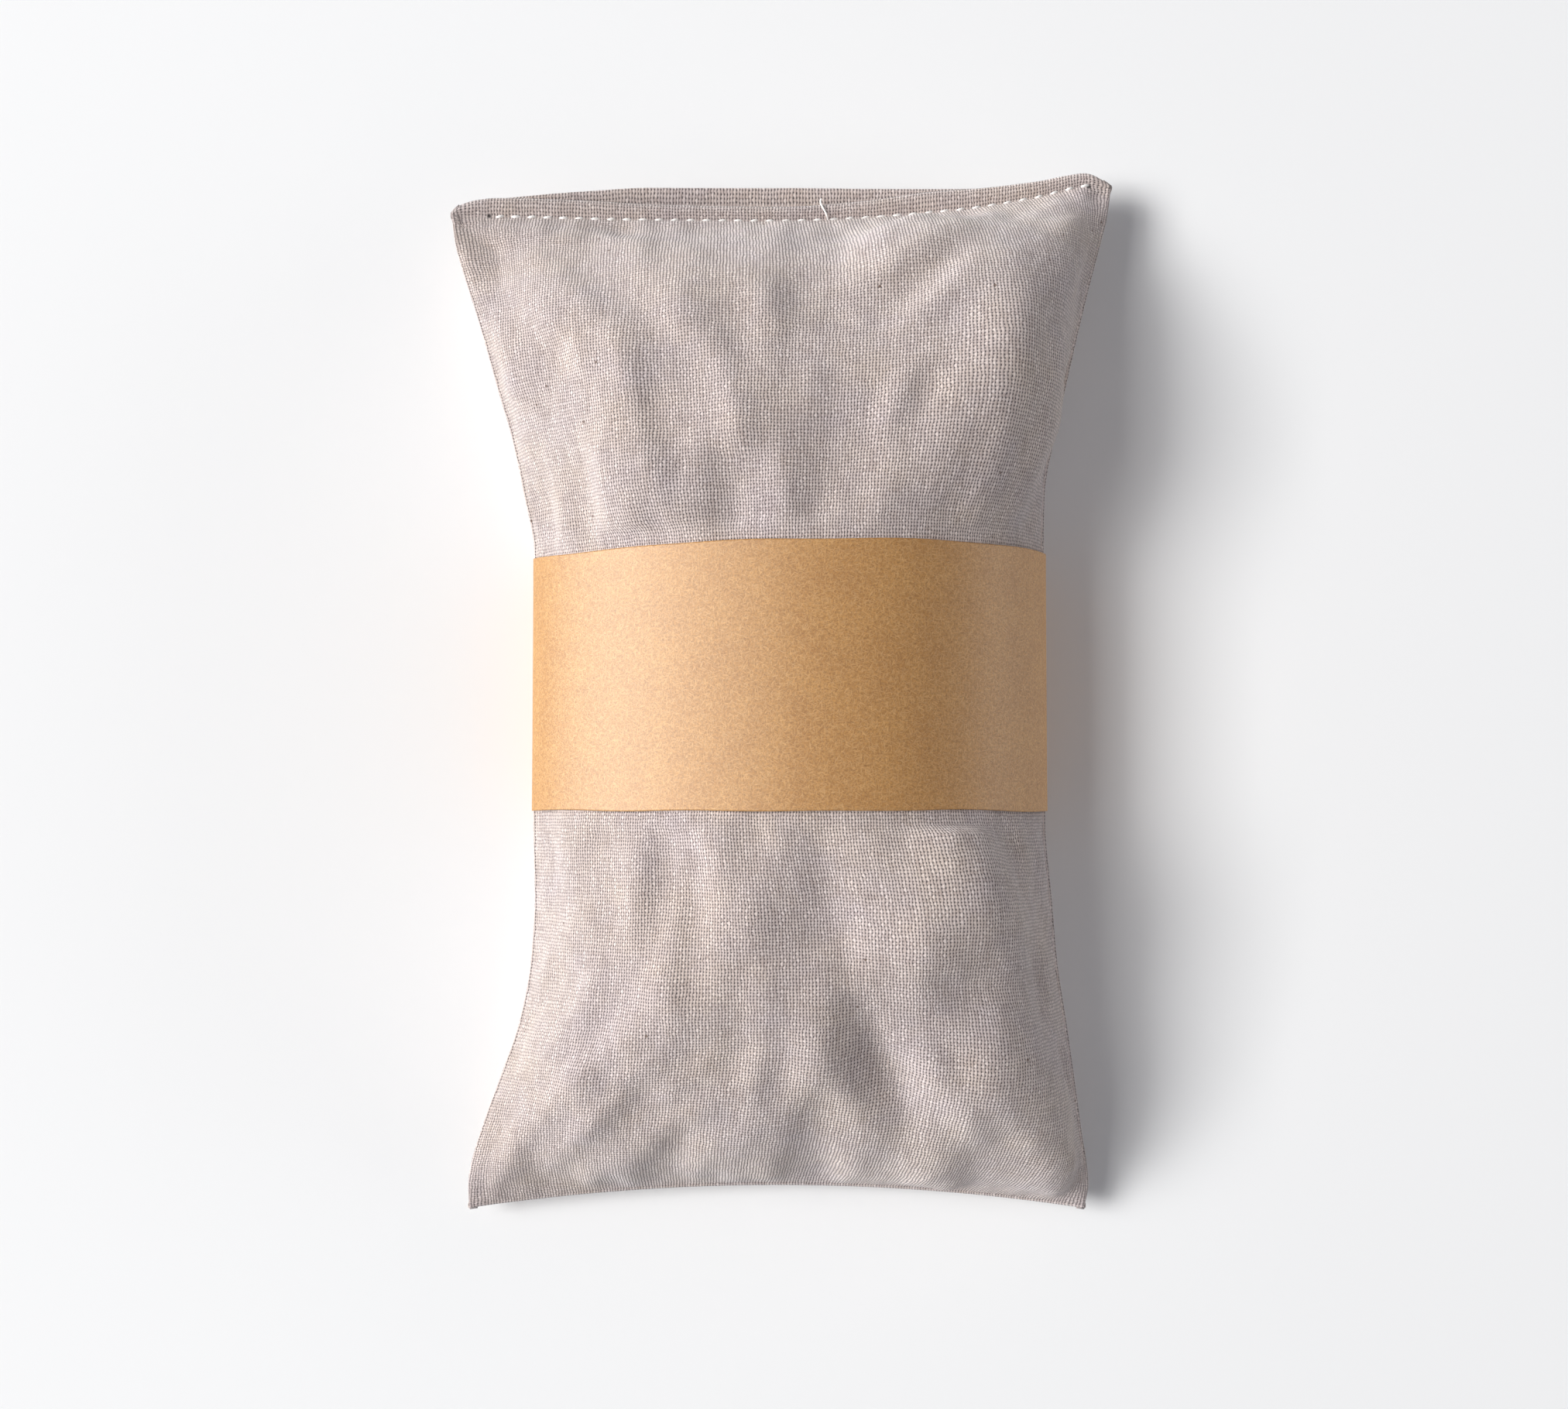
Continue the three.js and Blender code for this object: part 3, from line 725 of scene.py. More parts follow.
FOLDS = (
    Fold(((-24.0, 48.0), (-20.5, 41.0), (-18.3, 33.0), (-16.3, 25.0), (-15.2, 18.0)), 2.0, 6.0, 2.5),
    Fold(((-9.0, 47.0), (-7.8, 39.0), (-6.2, 33.0), (-5.2, 29.0)), 1.2, 3.0, 2.4),
    Fold(((-4.5, 32.0), (-4.5, 25.0), (-4.0, 14.0)), -1.3, 5.0, 3.2),
    Fold(((36.0, 60.0), (30.0, 50.0), (29.0, 40.0), (25.5, 31.0), (21.0, 22.0)), 2.3, 6.0, 6.0),
    Fold(((-7.0, 58.0), (-3.5, 51.0), (1.0, 45.0)), 0.9, 3.0, 3.0),
    Fold(((25.0, 62.0), (16.0, 56.0), (7.0, 50.0)), 0.8, 2.2, 2.2),
    Fold(((30.0, 58.0), (22.0, 51.0), (13.0, 44.0)), 0.9, 2.4, 2.4),
    Fold(((20.0, 46.0), (15.0, 37.0), (11.0, 29.0)), 0.7, 2.2, 2.2),
    Fold(((-31.0, 48.0), (-31.5, 41.0), (-31.0, 35.0)), -0.7, 3.0, 3.0),
    Fold(((-12.5, -14.0), (-12.0, -24.0), (-12.0, -32.0)), -1.2, 4.5, 3.0),
    Fold(((-3.0, -14.0), (-3.0, -25.0), (-4.0, -34.0)), 0.9, 4.0, 3.5),
    Fold(((21.0, -14.0), (22.5, -23.0), (24.5, -31.0), (24.0, -38.0)), 2.2, 8.0, 4.5),
    Fold(((20.0, -27.0), (19.0, -37.0)), 0.9, 6.0, 5.0),
    Fold(((4.0, -33.0), (5.0, -42.0), (4.5, -48.0), (1.5, -55.0)), 1.4, 4.0, 3.2),
    Fold(((8.0, -39.0), (11.0, -47.0), (14.5, -54.0), (19.0, -64.0)), -2.1, 4.0, 3.0),
    Fold(((20.0, -41.0), (24.0, -50.0), (29.0, -58.0)), 0.9, 6.0, 5.0),
    Fold(((27.0, -39.0), (29.5, -48.0), (33.0, -60.0)), 1.1, 4.0, 4.0),
    Fold(((-28.0, -45.0), (-26.0, -52.0), (-27.0, -60.0)), 1.1, 4.0, 3.0),
    Fold(((-17.0, -35.0), (-14.0, -41.0), (-10.0, -46.0)), 0.9, 3.5, 3.0),
    Fold(((-20.0, -50.0), (-16.0, -57.0)), -0.9, 4.0, 3.0),
)


def closed_pouch(front: Grid, back: Grid) -> tuple[np.ndarray, list[tuple[int, ...]]]:
    """Joins two panels that share a border into one closed skin.

    Args:
        front: The upper panel.
        back: The lower panel.

    Returns:
        The points, the front's first and then the back's inner ones, and the faces.
    """
    high, wide = front.shape[:2]
    above = np.arange(high * wide).reshape(high, wide)
    below = under_numbers(above)
    points = np.vstack([front.reshape(-1, 3), back[1:-1, 1:-1].reshape(-1, 3)])
    faces = [
        (g[j, i], g[j, i + 1], g[j + 1, i + 1], g[j + 1, i])[::step]
        for g, step in ((above, 1), (below, -1))
        for j in range(high - 1)
        for i in range(wide - 1)
    ]
    return points, faces


def under_numbers(above: np.ndarray) -> np.ndarray:
    """Numbers the lower panel's points, which shares the upper one's border.

    Args:
        above: The upper panel's vertex numbers, in rows and columns.

    Returns:
        The lower panel's vertex numbers.
    """
    below = above.copy()
    high, wide = above.shape
    inner = np.arange((high - 2) * (wide - 2)).reshape(high - 2, wide - 2)
    below[1:-1, 1:-1] = above.size + inner
    return below


LEFT_CORNER = ((-1.0, 0.5), (-0.97, 1.7), (-0.93, 2.4), (-0.87, 2.7))
RIGHT_CORNER = ((0.85, 2.1), (0.93, 1.8), (1.0, 0.3))


@dataclass
class Pouch:
    """The sewn pouch: two cotton panels that meet in turned-in seams at the sides and the foot,
    folded in and topstitched shut at the mouth, and swollen by the buds between them.

    Lengths are in millimetres. A share across runs from -1 at the left seam to 1 at the right one,
    and a share along from 0 at the band to 1 at the mouth or the foot.
    """

    # Section of the front: its crest, its sides and how both change away from the band
    crown: float = 33.0
    fall: float = 0.65
    roundness: float = 2.2
    flatness: float = 2.2
    tightness: float = 0.7
    fuller: float = 0.14
    fuller_right: float = 0.12
    fuller_from: float = 0.3
    shoulder_rate: float = 5.0
    crest_shift: float = 0.24
    crest_drift: float = 0.5
    section_points: int = 401

    # Section of the back, which would sag past the table and is pressed flat by it
    back_fullness: float = 1.35
    back_fill: float = 0.5
    back_roundness: float = 2.3
    back_slope: float = 0.5
    recess: float = 1.0
    recess_rate: float = 12.0
    rest_softness: float = 0.6
    seam_rate: float = 25.0

    # Height of the side seams, and the outline
    waist_lean: float = 3.0
    seam_waist: float = 12.5
    seam_mouth: float = 8.0
    seam_foot: float = 5.0
    waist_low: float = -17.5
    waist_high: float = 19.7
    foot: float = -69.8
    mouth: float = 65.5
    foot_bow: float = 3.1
    mouth_line: Stations = (
        (-1.0, 0.7), (-0.88, 0.65), (-0.5, 0.2), (0.0, 0.0), (0.2, 0.3), (0.55, 1.6),
        (0.8, 3.5), (0.93, 4.9), (1.0, 4.6),
    )
    left_edge: Stations = (
        (-71.0, -43.0), (-66.0, -42.7), (-61.7, -41.6), (-53.1, -38.5), (-44.6, -35.5), (-36.2, -33.9),
        (-27.8, -33.4), (-17.5, -33.6), (19.3, -33.7), (26.4, -35.0), (35.0, -36.9), (40.3, -38.5),
        (45.8, -40.1), (52.4, -42.1), (59.0, -44.3), (63.0, -45.4), (67.0, -46.2),
    )
    right_edge: Stations = (
        (-71.2, 41.0), (-66.0, 40.9), (-61.7, 40.2), (-53.1, 38.8), (-44.6, 37.4), (-36.2, 36.0),
        (-27.8, 35.2), (-17.5, 34.35), (19.3, 34.35), (26.4, 34.6), (35.0, 36.4), (43.7, 38.6),
        (52.4, 41.1), (61.0, 43.9), (65.0, 45.1), (70.0, 45.7),
    )

    # Lips of the mouth: how far they stand past the sewn line, their section, and how they hang open
    front_lip: Stations = (
        *LEFT_CORNER, (-0.6, 2.6), (-0.4, 2.2), (0.0, 2.0), (0.25, 2.4), (0.45, 3.0), (0.65, 2.6),
        *RIGHT_CORNER,
    )
    back_lip: Stations = (
        *LEFT_CORNER, (-0.6, 4.2), (-0.4, 4.9), (0.0, 5.0), (0.25, 4.4), (0.45, 3.6), (0.65, 2.7),
        *RIGHT_CORNER,
    )
    lip_section: Stations = (
        (0.15, 0.18), (0.35, 0.3), (0.55, 0.32), (0.75, 0.26), (0.92, 0.04), (1.0, -0.2),
        (0.93, -0.4), (0.7, -0.42), (0.5, -0.42), (0.3, -0.4), (0.15, -0.4), (0.0, -0.4),
    )
    front_sag: float = 0.35
    back_sag: float = 0.7
    sag_reach: float = 0.8
    open_middle: float = -0.2
    open_half: float = 0.6

    # Cloth and what is turned in at the mouth, the sides and the foot, and where each panel lies on
    # the flat cut
    cloth: float = 0.25
    sewn_half: float = 0.55
    turn: float = 0.75
    turn_width: float = 3.2
    turn_less: float = 0.4
    turn_section: Stations = ((0.3, -0.13), (0.42, -0.35), (0.3, -0.57), (0.0, -0.65))
    tucked: tuple[float, ...] = (2.0, 4.2, 6.5)
    tuck_depth: float = 0.63
    foot_taper: float = 0.009
    hem: float = 7.0
    hem_steps: tuple[float, ...] = (0.3, 0.65, 1.0)
    hem_depth: float = 0.4
    hem_taper: float = 0.06
    corner_depth: float = 0.6
    corner_flap: float = 0.15
    hem_flap: float = 0.1
    foot_flap_rows: int = 5
    mouth_flap_rows: int = 14
    front_cut: float = 10.0
    back_cut: float = 210.0

    # Points of the simulated and of the refined panels
    columns: int = 28
    rows: int = 42
    fine_columns: int = 180
    fine_rows: int = 180
    lip_from: float = 0.96
    lip_rows: int = 18
    eased_times: int = 2

    # Simulation, which runs on a larger copy
    frames: int = 24
    sim_scale: float = 20.0
    growth: float = 0.014
    bending: float = 2.0
    pressure: float = 4.0
    most_move: float = 5.0
    held_below: float = 1.2
    waist_margin: float = 1.0
    crumple: float = 0.06
    seed: int = 7

    # Wrinkles: lean, half length and half width of those that run upright, rise and fall to the right,
    # and of the lumps over the buds
    wrinkle_kinds: tuple[tuple[float, float, float], ...] = (
        (4.0, 5.5, 1.8), (42.0, 6.0, 1.7), (-38.0, 6.0, 1.7), (0.0, 5.5, 4.5),
    )
    wrinkle_depth: float = 0.35
    lump_depth: float = 0.5
    upright_least: float = 0.35
    lean_from: float = 12.0
    lean_width: float = 40.0
    lean_rate: float = 1.4

    # Relief near the band, and puckers along the seams
    loose_rate: float = 28.0
    least_dent: float = 0.4
    calm_edge: float = 6.0
    pucker: float = 0.14
    pucker_waves: tuple[float, ...] = (4.7, 6.9, 9.8, 14.7)
    pucker_peak: float = 2.5
    side_pucker: float = 5.0
    end_pucker: float = 6.0

    def reach(self, along: np.ndarray) -> np.ndarray:
        """Gives the share along the pouch.

        Args:
            along: Places in Y.

        Returns:
            0 within the waist and 1 at the mouth or foot.
        """
        up = (along - self.waist_high) / (self.mouth - self.waist_high)
        down = (self.waist_low - along) / (self.waist_low - self.foot)
        return np.clip(np.maximum(up, down), 0, 1)

    def seam_height(self, along: np.ndarray) -> np.ndarray:
        """Gives the height of the side seams along the pouch."""
        end = np.where(along > 0, self.seam_mouth, self.seam_foot)
        return end + (self.seam_waist - end) * (1 - self.reach(along) ** 2)

    def front_height(self, spread: np.ndarray, reach: float, seam: np.ndarray, full: float) -> np.ndarray:
        """Shapes one section of the front before it settles.

        Args:
            spread: Shares across.
            reach: The share along.
            seam: The seams' height, from left to right.
            full: How full the pouch is there.

        Returns:
            The height at each share across.
        """
        away = float(smooth(np.array(reach * self.shoulder_rate)))
        shift = self.crest_shift * (1 + self.crest_drift * away)
        leaning = np.abs(spread - shift * (1 - spread**2))
        power = self.tightness - self.fuller * away * smooth(-spread * 2 + self.fuller_from)
        power = power - self.fuller_right * away * smooth(spread * 2 - self.fuller_from)
        profile = (1 - leaning ** (self.roundness + self.flatness * reach)) ** power
        return seam + (self.crown - seam) * full * profile

    def back_height(self, spread: np.ndarray, reach: float, seam: np.ndarray, full: float) -> np.ndarray:
        """Shapes one section of the back before it settles.

        Args:
            spread: Shares across.
            reach: The share along.
            seam: The seams' height, from left to right.
            full: How full the pouch is there.

        Returns:
            The height at each share across.
        """
        profile = (1 - np.abs(spread) ** self.back_roundness) ** self.back_slope
        z = seam * (1 - self.back_fullness * full**self.back_fill * profile)
        floor = self.recess * (1 - smooth(np.array(reach * self.recess_rate)))
        z = floor + np.logaddexp(0, (z - floor) / self.rest_softness) * self.rest_softness
        return seam + (z - seam) * smooth((1 - np.abs(spread)) * self.seam_rate)

    def start(self, side: Side) -> Grid:
        """Shapes a panel before it settles.

        Args:
            side: Which panel.

        Returns:
            Points in rows from the foot to the sewn line, evenly spaced along each row.
        """
        along = np.linspace(self.foot, self.mouth, self.rows + 1)
        spread = np.sin(np.linspace(-1, 1, self.section_points) * np.pi / 2)
        left, right = through(self.left_edge, along), through(self.right_edge, along)
        height = self.front_height if side is Side.FRONT else self.back_height
        lines = []
        for k, y in enumerate(along):
            reach = float(self.reach(y))
            seam = float(self.seam_height(y)) + self.waist_lean * spread * (1 - reach**2)
            x = (left[k] + right[k]) / 2 + (right[k] - left[k]) / 2 * spread
            z = height(spread, reach, seam, (1 - reach**2) ** self.fall)
            slant = through(self.mouth_line, spread) * (max(y, 0) / self.mouth) ** 3
            bow = self.foot_bow * (1 - spread**2) * (min(y, 0) / self.foot) ** 3
            curve = np.column_stack([x, y + slant + bow, z])
            run = lengths(curve, 0)
            even = np.linspace(0, run[-1], self.columns + 1)
            lines.append(np.column_stack([np.interp(even, run, curve[:, c]) for c in range(3)]))
        return np.array(lines)

    def settle(self, front: Grid, back: Grid) -> tuple[Grid, Grid]:
        """Lets the stuffing press the cloth out, with the seams and the waist held.

        Args:
            front: The front panel's points.
            back: The back panel's points, with the same border.

        Returns:
            Both panels after the simulation.
        """
        number = np.arange(front[..., 0].size).reshape(front.shape[:2])
        under = under_numbers(number)
        points, faces = closed_pouch(front, back)
        border = np.ones(number.shape, bool)
        border[1:-1, 1:-1] = False
        low, high = self.waist_low + self.waist_margin, self.waist_high - self.waist_margin
        held = (points[:, 1] > low) & (points[:, 1] < high) | (points[:, 2] < self.held_below)
        held[number[border]] = True
        draw = np.random.default_rng(self.seed)
        crumpled = points + draw.normal(0, self.crumple, points.shape) * ~held[:, None]
        trial = new_piece("settling", crumpled * self.sim_scale, faces, None)
        group = trial.vertex_groups.new(name="held")
        group.add([int(n) for n in np.flatnonzero(held)], 1.0, "REPLACE")
        cloth = trial.modifiers.new("cloth", "CLOTH")
        rules = cloth.settings
        rules.quality = 5
        rules.mass = 0.02
        rules.tension_stiffness = 15
        rules.compression_stiffness = 15
        rules.shear_stiffness = 5
        rules.bending_stiffness = self.bending
        rules.air_damping = 2
        rules.use_pressure = True
        rules.uniform_pressure_force = self.pressure
        rules.shrink_min = -self.growth
        rules.vertex_group_mass = "held"
        rules.effector_weights.gravity = 0
        cloth.collision_settings.use_collision = False
        cloth.point_cache.frame_start = 1
        cloth.point_cache.frame_end = self.frames
        scene = bpy.context.scene
        for number_of_frame in range(1, self.frames + 1):
            scene.frame_set(number_of_frame)
        mesh = trial.evaluated_get(bpy.context.evaluated_depsgraph_get()).to_mesh()
        moved = np.empty(len(mesh.vertices) * 3)
        mesh.vertices.foreach_get("co", moved)
        moved = moved.reshape(-1, 3) / (self.sim_scale * MM)
        bpy.data.objects.remove(trial)
        scene.frame_set(1)
        shift = moved - points
        length = np.linalg.norm(shift, axis=1, keepdims=True)
        LOG.info("cloth moved %.2f mm at most, %.2f mm on average", length.max(), length.mean())
        points = points + shift * np.minimum(1, self.most_move / np.maximum(length, TINY))
        points[:, 2] = np.maximum(points[:, 2], 0)
        return self.eased(points[number]), self.eased(points[under])

    def eased(self, grid: Grid) -> Grid:
        """Irons out what is as small as the grid's own cells, away from the border.

        Args:
            grid: A settled panel.

        Returns:
            The calmer panel.
        """
        for _ in range(self.eased_times):
            calm = grid.copy()
            calm[1:-1, 1:-1] = (
                grid[1:-1, 1:-1] * 2 + grid[:-2, 1:-1] + grid[2:, 1:-1] + grid[1:-1, :-2] + grid[1:-1, 2:]
            ) / 6
            grid = calm
        return grid

    def fine(self, grid: Grid) -> Grid:
        """Refines a settled panel, closest along the sewn line.

        Args:
            grid: The settled panel.

        Returns:
            The panel with many more rows and columns.
        """
        low = np.linspace(0, self.lip_from, self.fine_rows + 1)
        rows = np.concatenate([low, np.linspace(self.lip_from, 1, self.lip_rows)[1:]])
        columns = np.linspace(0, 1, self.fine_columns + 1)
        return finer(finer(grid, rows * self.rows, 0), columns * self.columns, 1)

    def ripple(self, place: np.ndarray, draw: np.random.Generator) -> np.ndarray:
        """Adds up seeded waves along a seam.

        Args:
            place: Distances along the seam.
            draw: The source of the phases.

        Returns:
            Values of about -1 to 1.
        """
        total = np.zeros_like(place)
        for wave in self.pucker_waves:
            total += np.sin(2 * np.pi * place / wave + draw.uniform(0, 2 * np.pi))
        return total / len(self.pucker_waves) ** 0.5

    def streaks(
        self, shape: tuple[int, int], kind: tuple[float, float, float], draw: np.random.Generator
    ) -> np.ndarray:
        """Makes a seeded field of soft wrinkles that all lean one way.

        Args:
            shape: Rows and columns of the panel.
            kind: The wrinkles' angle from the pouch's length, clockwise in degrees, and their typical
                half length and half width.
            draw: The source of the noise.

        Returns:
            Values with a spread of one.
        """
        lean, along, across = kind
        pitch_y = (self.mouth - self.foot) / self.fine_rows
        pitch_x = (self.right_edge[-1][1] - self.left_edge[-1][1]) / self.fine_columns
        fy = np.fft.fftfreq(shape[0] * 2, pitch_y)[:, None]
        fx = np.fft.fftfreq(shape[1] * 2, pitch_x)[None, :]
        sine, cosine = math.sin(math.radians(lean)), math.cos(math.radians(lean))
        lengthwise, sidewise = fx * sine + fy * cosine, fx * cosine - fy * sine
        keep = np.exp(-2 * np.pi**2 * ((along * lengthwise) ** 2 + (across * sidewise) ** 2))
        noise = np.fft.fft2(draw.normal(size=(shape[0] * 2, shape[1] * 2)))
        field = np.fft.ifft2(noise * keep).real[: shape[0], : shape[1]]
        return (field - field.mean()) / field.std()

    def wrinkles(self, grid: Grid, draw: np.random.Generator) -> np.ndarray:
        """Gathers the soft wrinkles that run from the corners, the stitches and the band.

        Args:
            grid: The refined panel.
            draw: The source of the noise.

        Returns:
            The rise at each point.
        """
        x, y = grid[..., 0], grid[..., 1]
        toward = smooth(self.reach(y) * self.lean_rate)
        right = smooth((x + self.lean_from) / self.lean_width) * toward * np.sign(y)
        left = smooth((self.lean_from - x) / self.lean_width) * toward * np.sign(y)
        upright, rising, falling, lumps = (
            self.streaks(grid.shape[:2], kind, draw) for kind in self.wrinkle_kinds
        )
        leaning = np.clip(right, 0, 1) + np.clip(-left, 0, 1)
        leaning_back = np.clip(left, 0, 1) + np.clip(-right, 0, 1)
        straight = np.clip(1 - leaning - leaning_back, 0, 1)
        upright = upright * (self.upright_least + (1 - self.upright_least) * straight)
        fine = upright + rising * leaning + falling * leaning_back
        return self.wrinkle_depth * fine + self.lump_depth * lumps

    def sculpt(self, grid: Grid, side: Side) -> Grid:
        """Works the folds, the seam puckers and the pull of the stitches into a panel.

        Args:
            grid: The refined panel.
            side: Which panel.

        Returns:
            The panel with its relief.
        """
        draw = np.random.default_rng(self.seed + side.value)
        normal = normals_of(grid) * side.value
        from_left, from_foot = lengths(grid, 1), lengths(grid, 0)
        from_right, from_mouth = from_left[:, -1:] - from_left, from_foot[-1:] - from_foot
        loose = smooth(self.reach(grid[..., 1]) * self.loose_rate)
        lift = self.wrinkles(grid, draw)
        if side is Side.FRONT:
            for fold in FOLDS:
                lift += fold.lifts(grid)
        from_side = np.minimum(from_left, from_right)
        lift *= smooth(np.minimum(from_side, np.minimum(from_foot, from_mouth)) / self.calm_edge)
        dent = self.least_dent + (1 - self.least_dent) * loose
        lift = np.where(lift > 0, lift * loose, lift * dent)
        peak = self.pucker_peak
        for distance, place, length in (
            (from_left, from_foot[:, :1], self.side_pucker),
            (from_right, from_foot[:, -1:], self.side_pucker),
            (from_foot, from_left[:1], self.end_pucker),
            (from_mouth, from_left[-1:], self.end_pucker),
        ):
            ripples = self.ripple(place, draw)
            rise = distance / peak * np.exp(1 - distance / peak)
            reach = np.where(distance < peak, rise, np.exp(-(((distance - peak) / length) ** 2)))
            lift += self.pucker * ripples * reach * loose
        grid = grid + normal * lift[..., None]
        folded = 1 - smooth(np.minimum(from_side, from_foot) / self.turn_width)
        sewn = 1 - smooth(from_mouth / self.turn_width)
        apart = np.maximum(self.turn * folded * (1 - self.turn_less * sewn), self.sewn_half * sewn)
        grid = grid + side.up * apart[..., None]
        grid[..., 2] = np.maximum(grid[..., 2], 0)
        return grid

    def mouth_rows(self, grid: Grid, side: Side) -> tuple[list[np.ndarray], list[np.ndarray]]:
        """Runs a panel on past the sewn line, over the lip and back inside.

        Args:
            grid: The sculpted panel up to the sewn line.
            side: Which panel.

        Returns:
            The lip's rows and the rows of the hem inside.
        """
        edge = grid[-1]
        share = np.linspace(-1, 1, len(edge))
        front = side is Side.FRONT
        lip = through(self.front_lip if front else self.back_lip, share)[:, None]
        sag = self.front_sag if front else self.back_sag
        part = np.clip(1 - ((share - self.open_middle) / self.open_half) ** 2, 0, 1)[:, None]
        lips = []
        for t, z in self.lip_section:
            bend = sag * math.sin(math.pi * t * self.sag_reach)
            lips.append(edge + MOUTHWARD * lip * t + side.up * (z + part * bend))
        narrow = RIGHTWARD * edge[:, :1]
        inside = [
            edge - MOUTHWARD * self.hem * t - side.up * self.hem_depth - self.hem_taper * t * narrow
            for t in self.hem_steps
        ]
        return lips, inside

    def foot_rows(self, grid: Grid, side: Side) -> list[np.ndarray]:
        """Turns a panel in at the foot.

        Args:
            grid: The sculpted panel.
            side: Which panel.

        Returns:
            The rows from the fold to the end of the allowance.
        """
        edge = grid[0]
        narrow = RIGHTWARD * edge[:, :1]
        rows = [edge - MOUTHWARD * out + side.up * z for out, z in self.turn_section]
        for far in self.tucked:
            inward = MOUTHWARD * far - side.up * self.tuck_depth
            rows.append(edge + inward - narrow * far * self.foot_taper)
        return rows

    def side_strips(self, rows: Grid, drop: np.ndarray, side: Side) -> list[list[np.ndarray]]:
        """Turns a panel in at its side seams.

        Args:
            rows: The panel with its lip, its hem and its turned-in foot.
            drop: For each row, the share of the allowance that is turned in there.
            side: Which panel.

        Returns:
            The left and the right seam's columns, from the fold to the end of the allowance.
        """
        deep = np.maximum(drop, self.corner_depth)
        sides = []
        for column, sign in ((0, -1.0), (-1, 1.0)):
            edge = rows[:, column]
            outward = RIGHTWARD * sign
            strips = [edge + outward * out * drop + side.up * z * deep for out, z in self.turn_section]
            for far in self.tucked:
                x = edge[:, 0] - sign * far * drop[:, 0]
                y = np.array([np.interp(x[k], row[:, 0], row[:, 1]) for k, row in enumerate(rows)])
                strips.append(np.column_stack([x, y, edge[:, 2]]) - side.up * self.tuck_depth * deep)
            sides.append(strips)
        return sides

    def panel(self, grid: Grid, side: Side) -> tuple[np.ndarray, np.ndarray, np.ndarray]:
        """Adds a panel's lip, its turned-in hem and seams, and the cloth's thickness.

        Args:
            grid: The sculpted panel up to the sewn line.
            side: Which panel.

        Returns:
            The closed shell's points, its faces and each point's place on the flat cut.
        """
        lips, inside = self.mouth_rows(grid, side)
        foot = self.foot_rows(grid, side)
        rows = np.array(foot[::-1] + list(grid) + lips + inside)
        flaps = np.ones(len(grid))
        flaps[: self.foot_flap_rows] = np.linspace(self.corner_flap, 1, self.foot_flap_rows)
        flaps[-self.mouth_flap_rows :] = np.linspace(1, self.corner_flap, self.mouth_flap_rows)
        corners = [np.full(len(k), self.corner_flap) for k in (foot, lips)]
        drop = np.concatenate([corners[0], flaps, corners[1], np.full(len(inside), self.hem_flap)])
        left, right = self.side_strips(rows, drop[:, None], side)
        sheet = np.stack(left[::-1] + [rows[:, k] for k in range(rows.shape[1])] + right, axis=1)
        inner = sheet - normals_of(sheet) * side.value * self.cloth
        across, along = lengths(sheet, 1).mean(axis=0), lengths(sheet, 0).mean(axis=1)
        shift = self.front_cut if side is Side.FRONT else self.back_cut
        cut = np.stack(np.meshgrid(across, along), axis=-1) * MM + shift * MM
        faces = shell_faces(*sheet.shape[:2])
        if side is Side.BACK:
            faces = faces[:, ::-1]
        points = np.vstack([sheet.reshape(-1, 3), inner.reshape(-1, 3)])
        return points, faces, np.vstack([cut.reshape(-1, 2)] * 2)


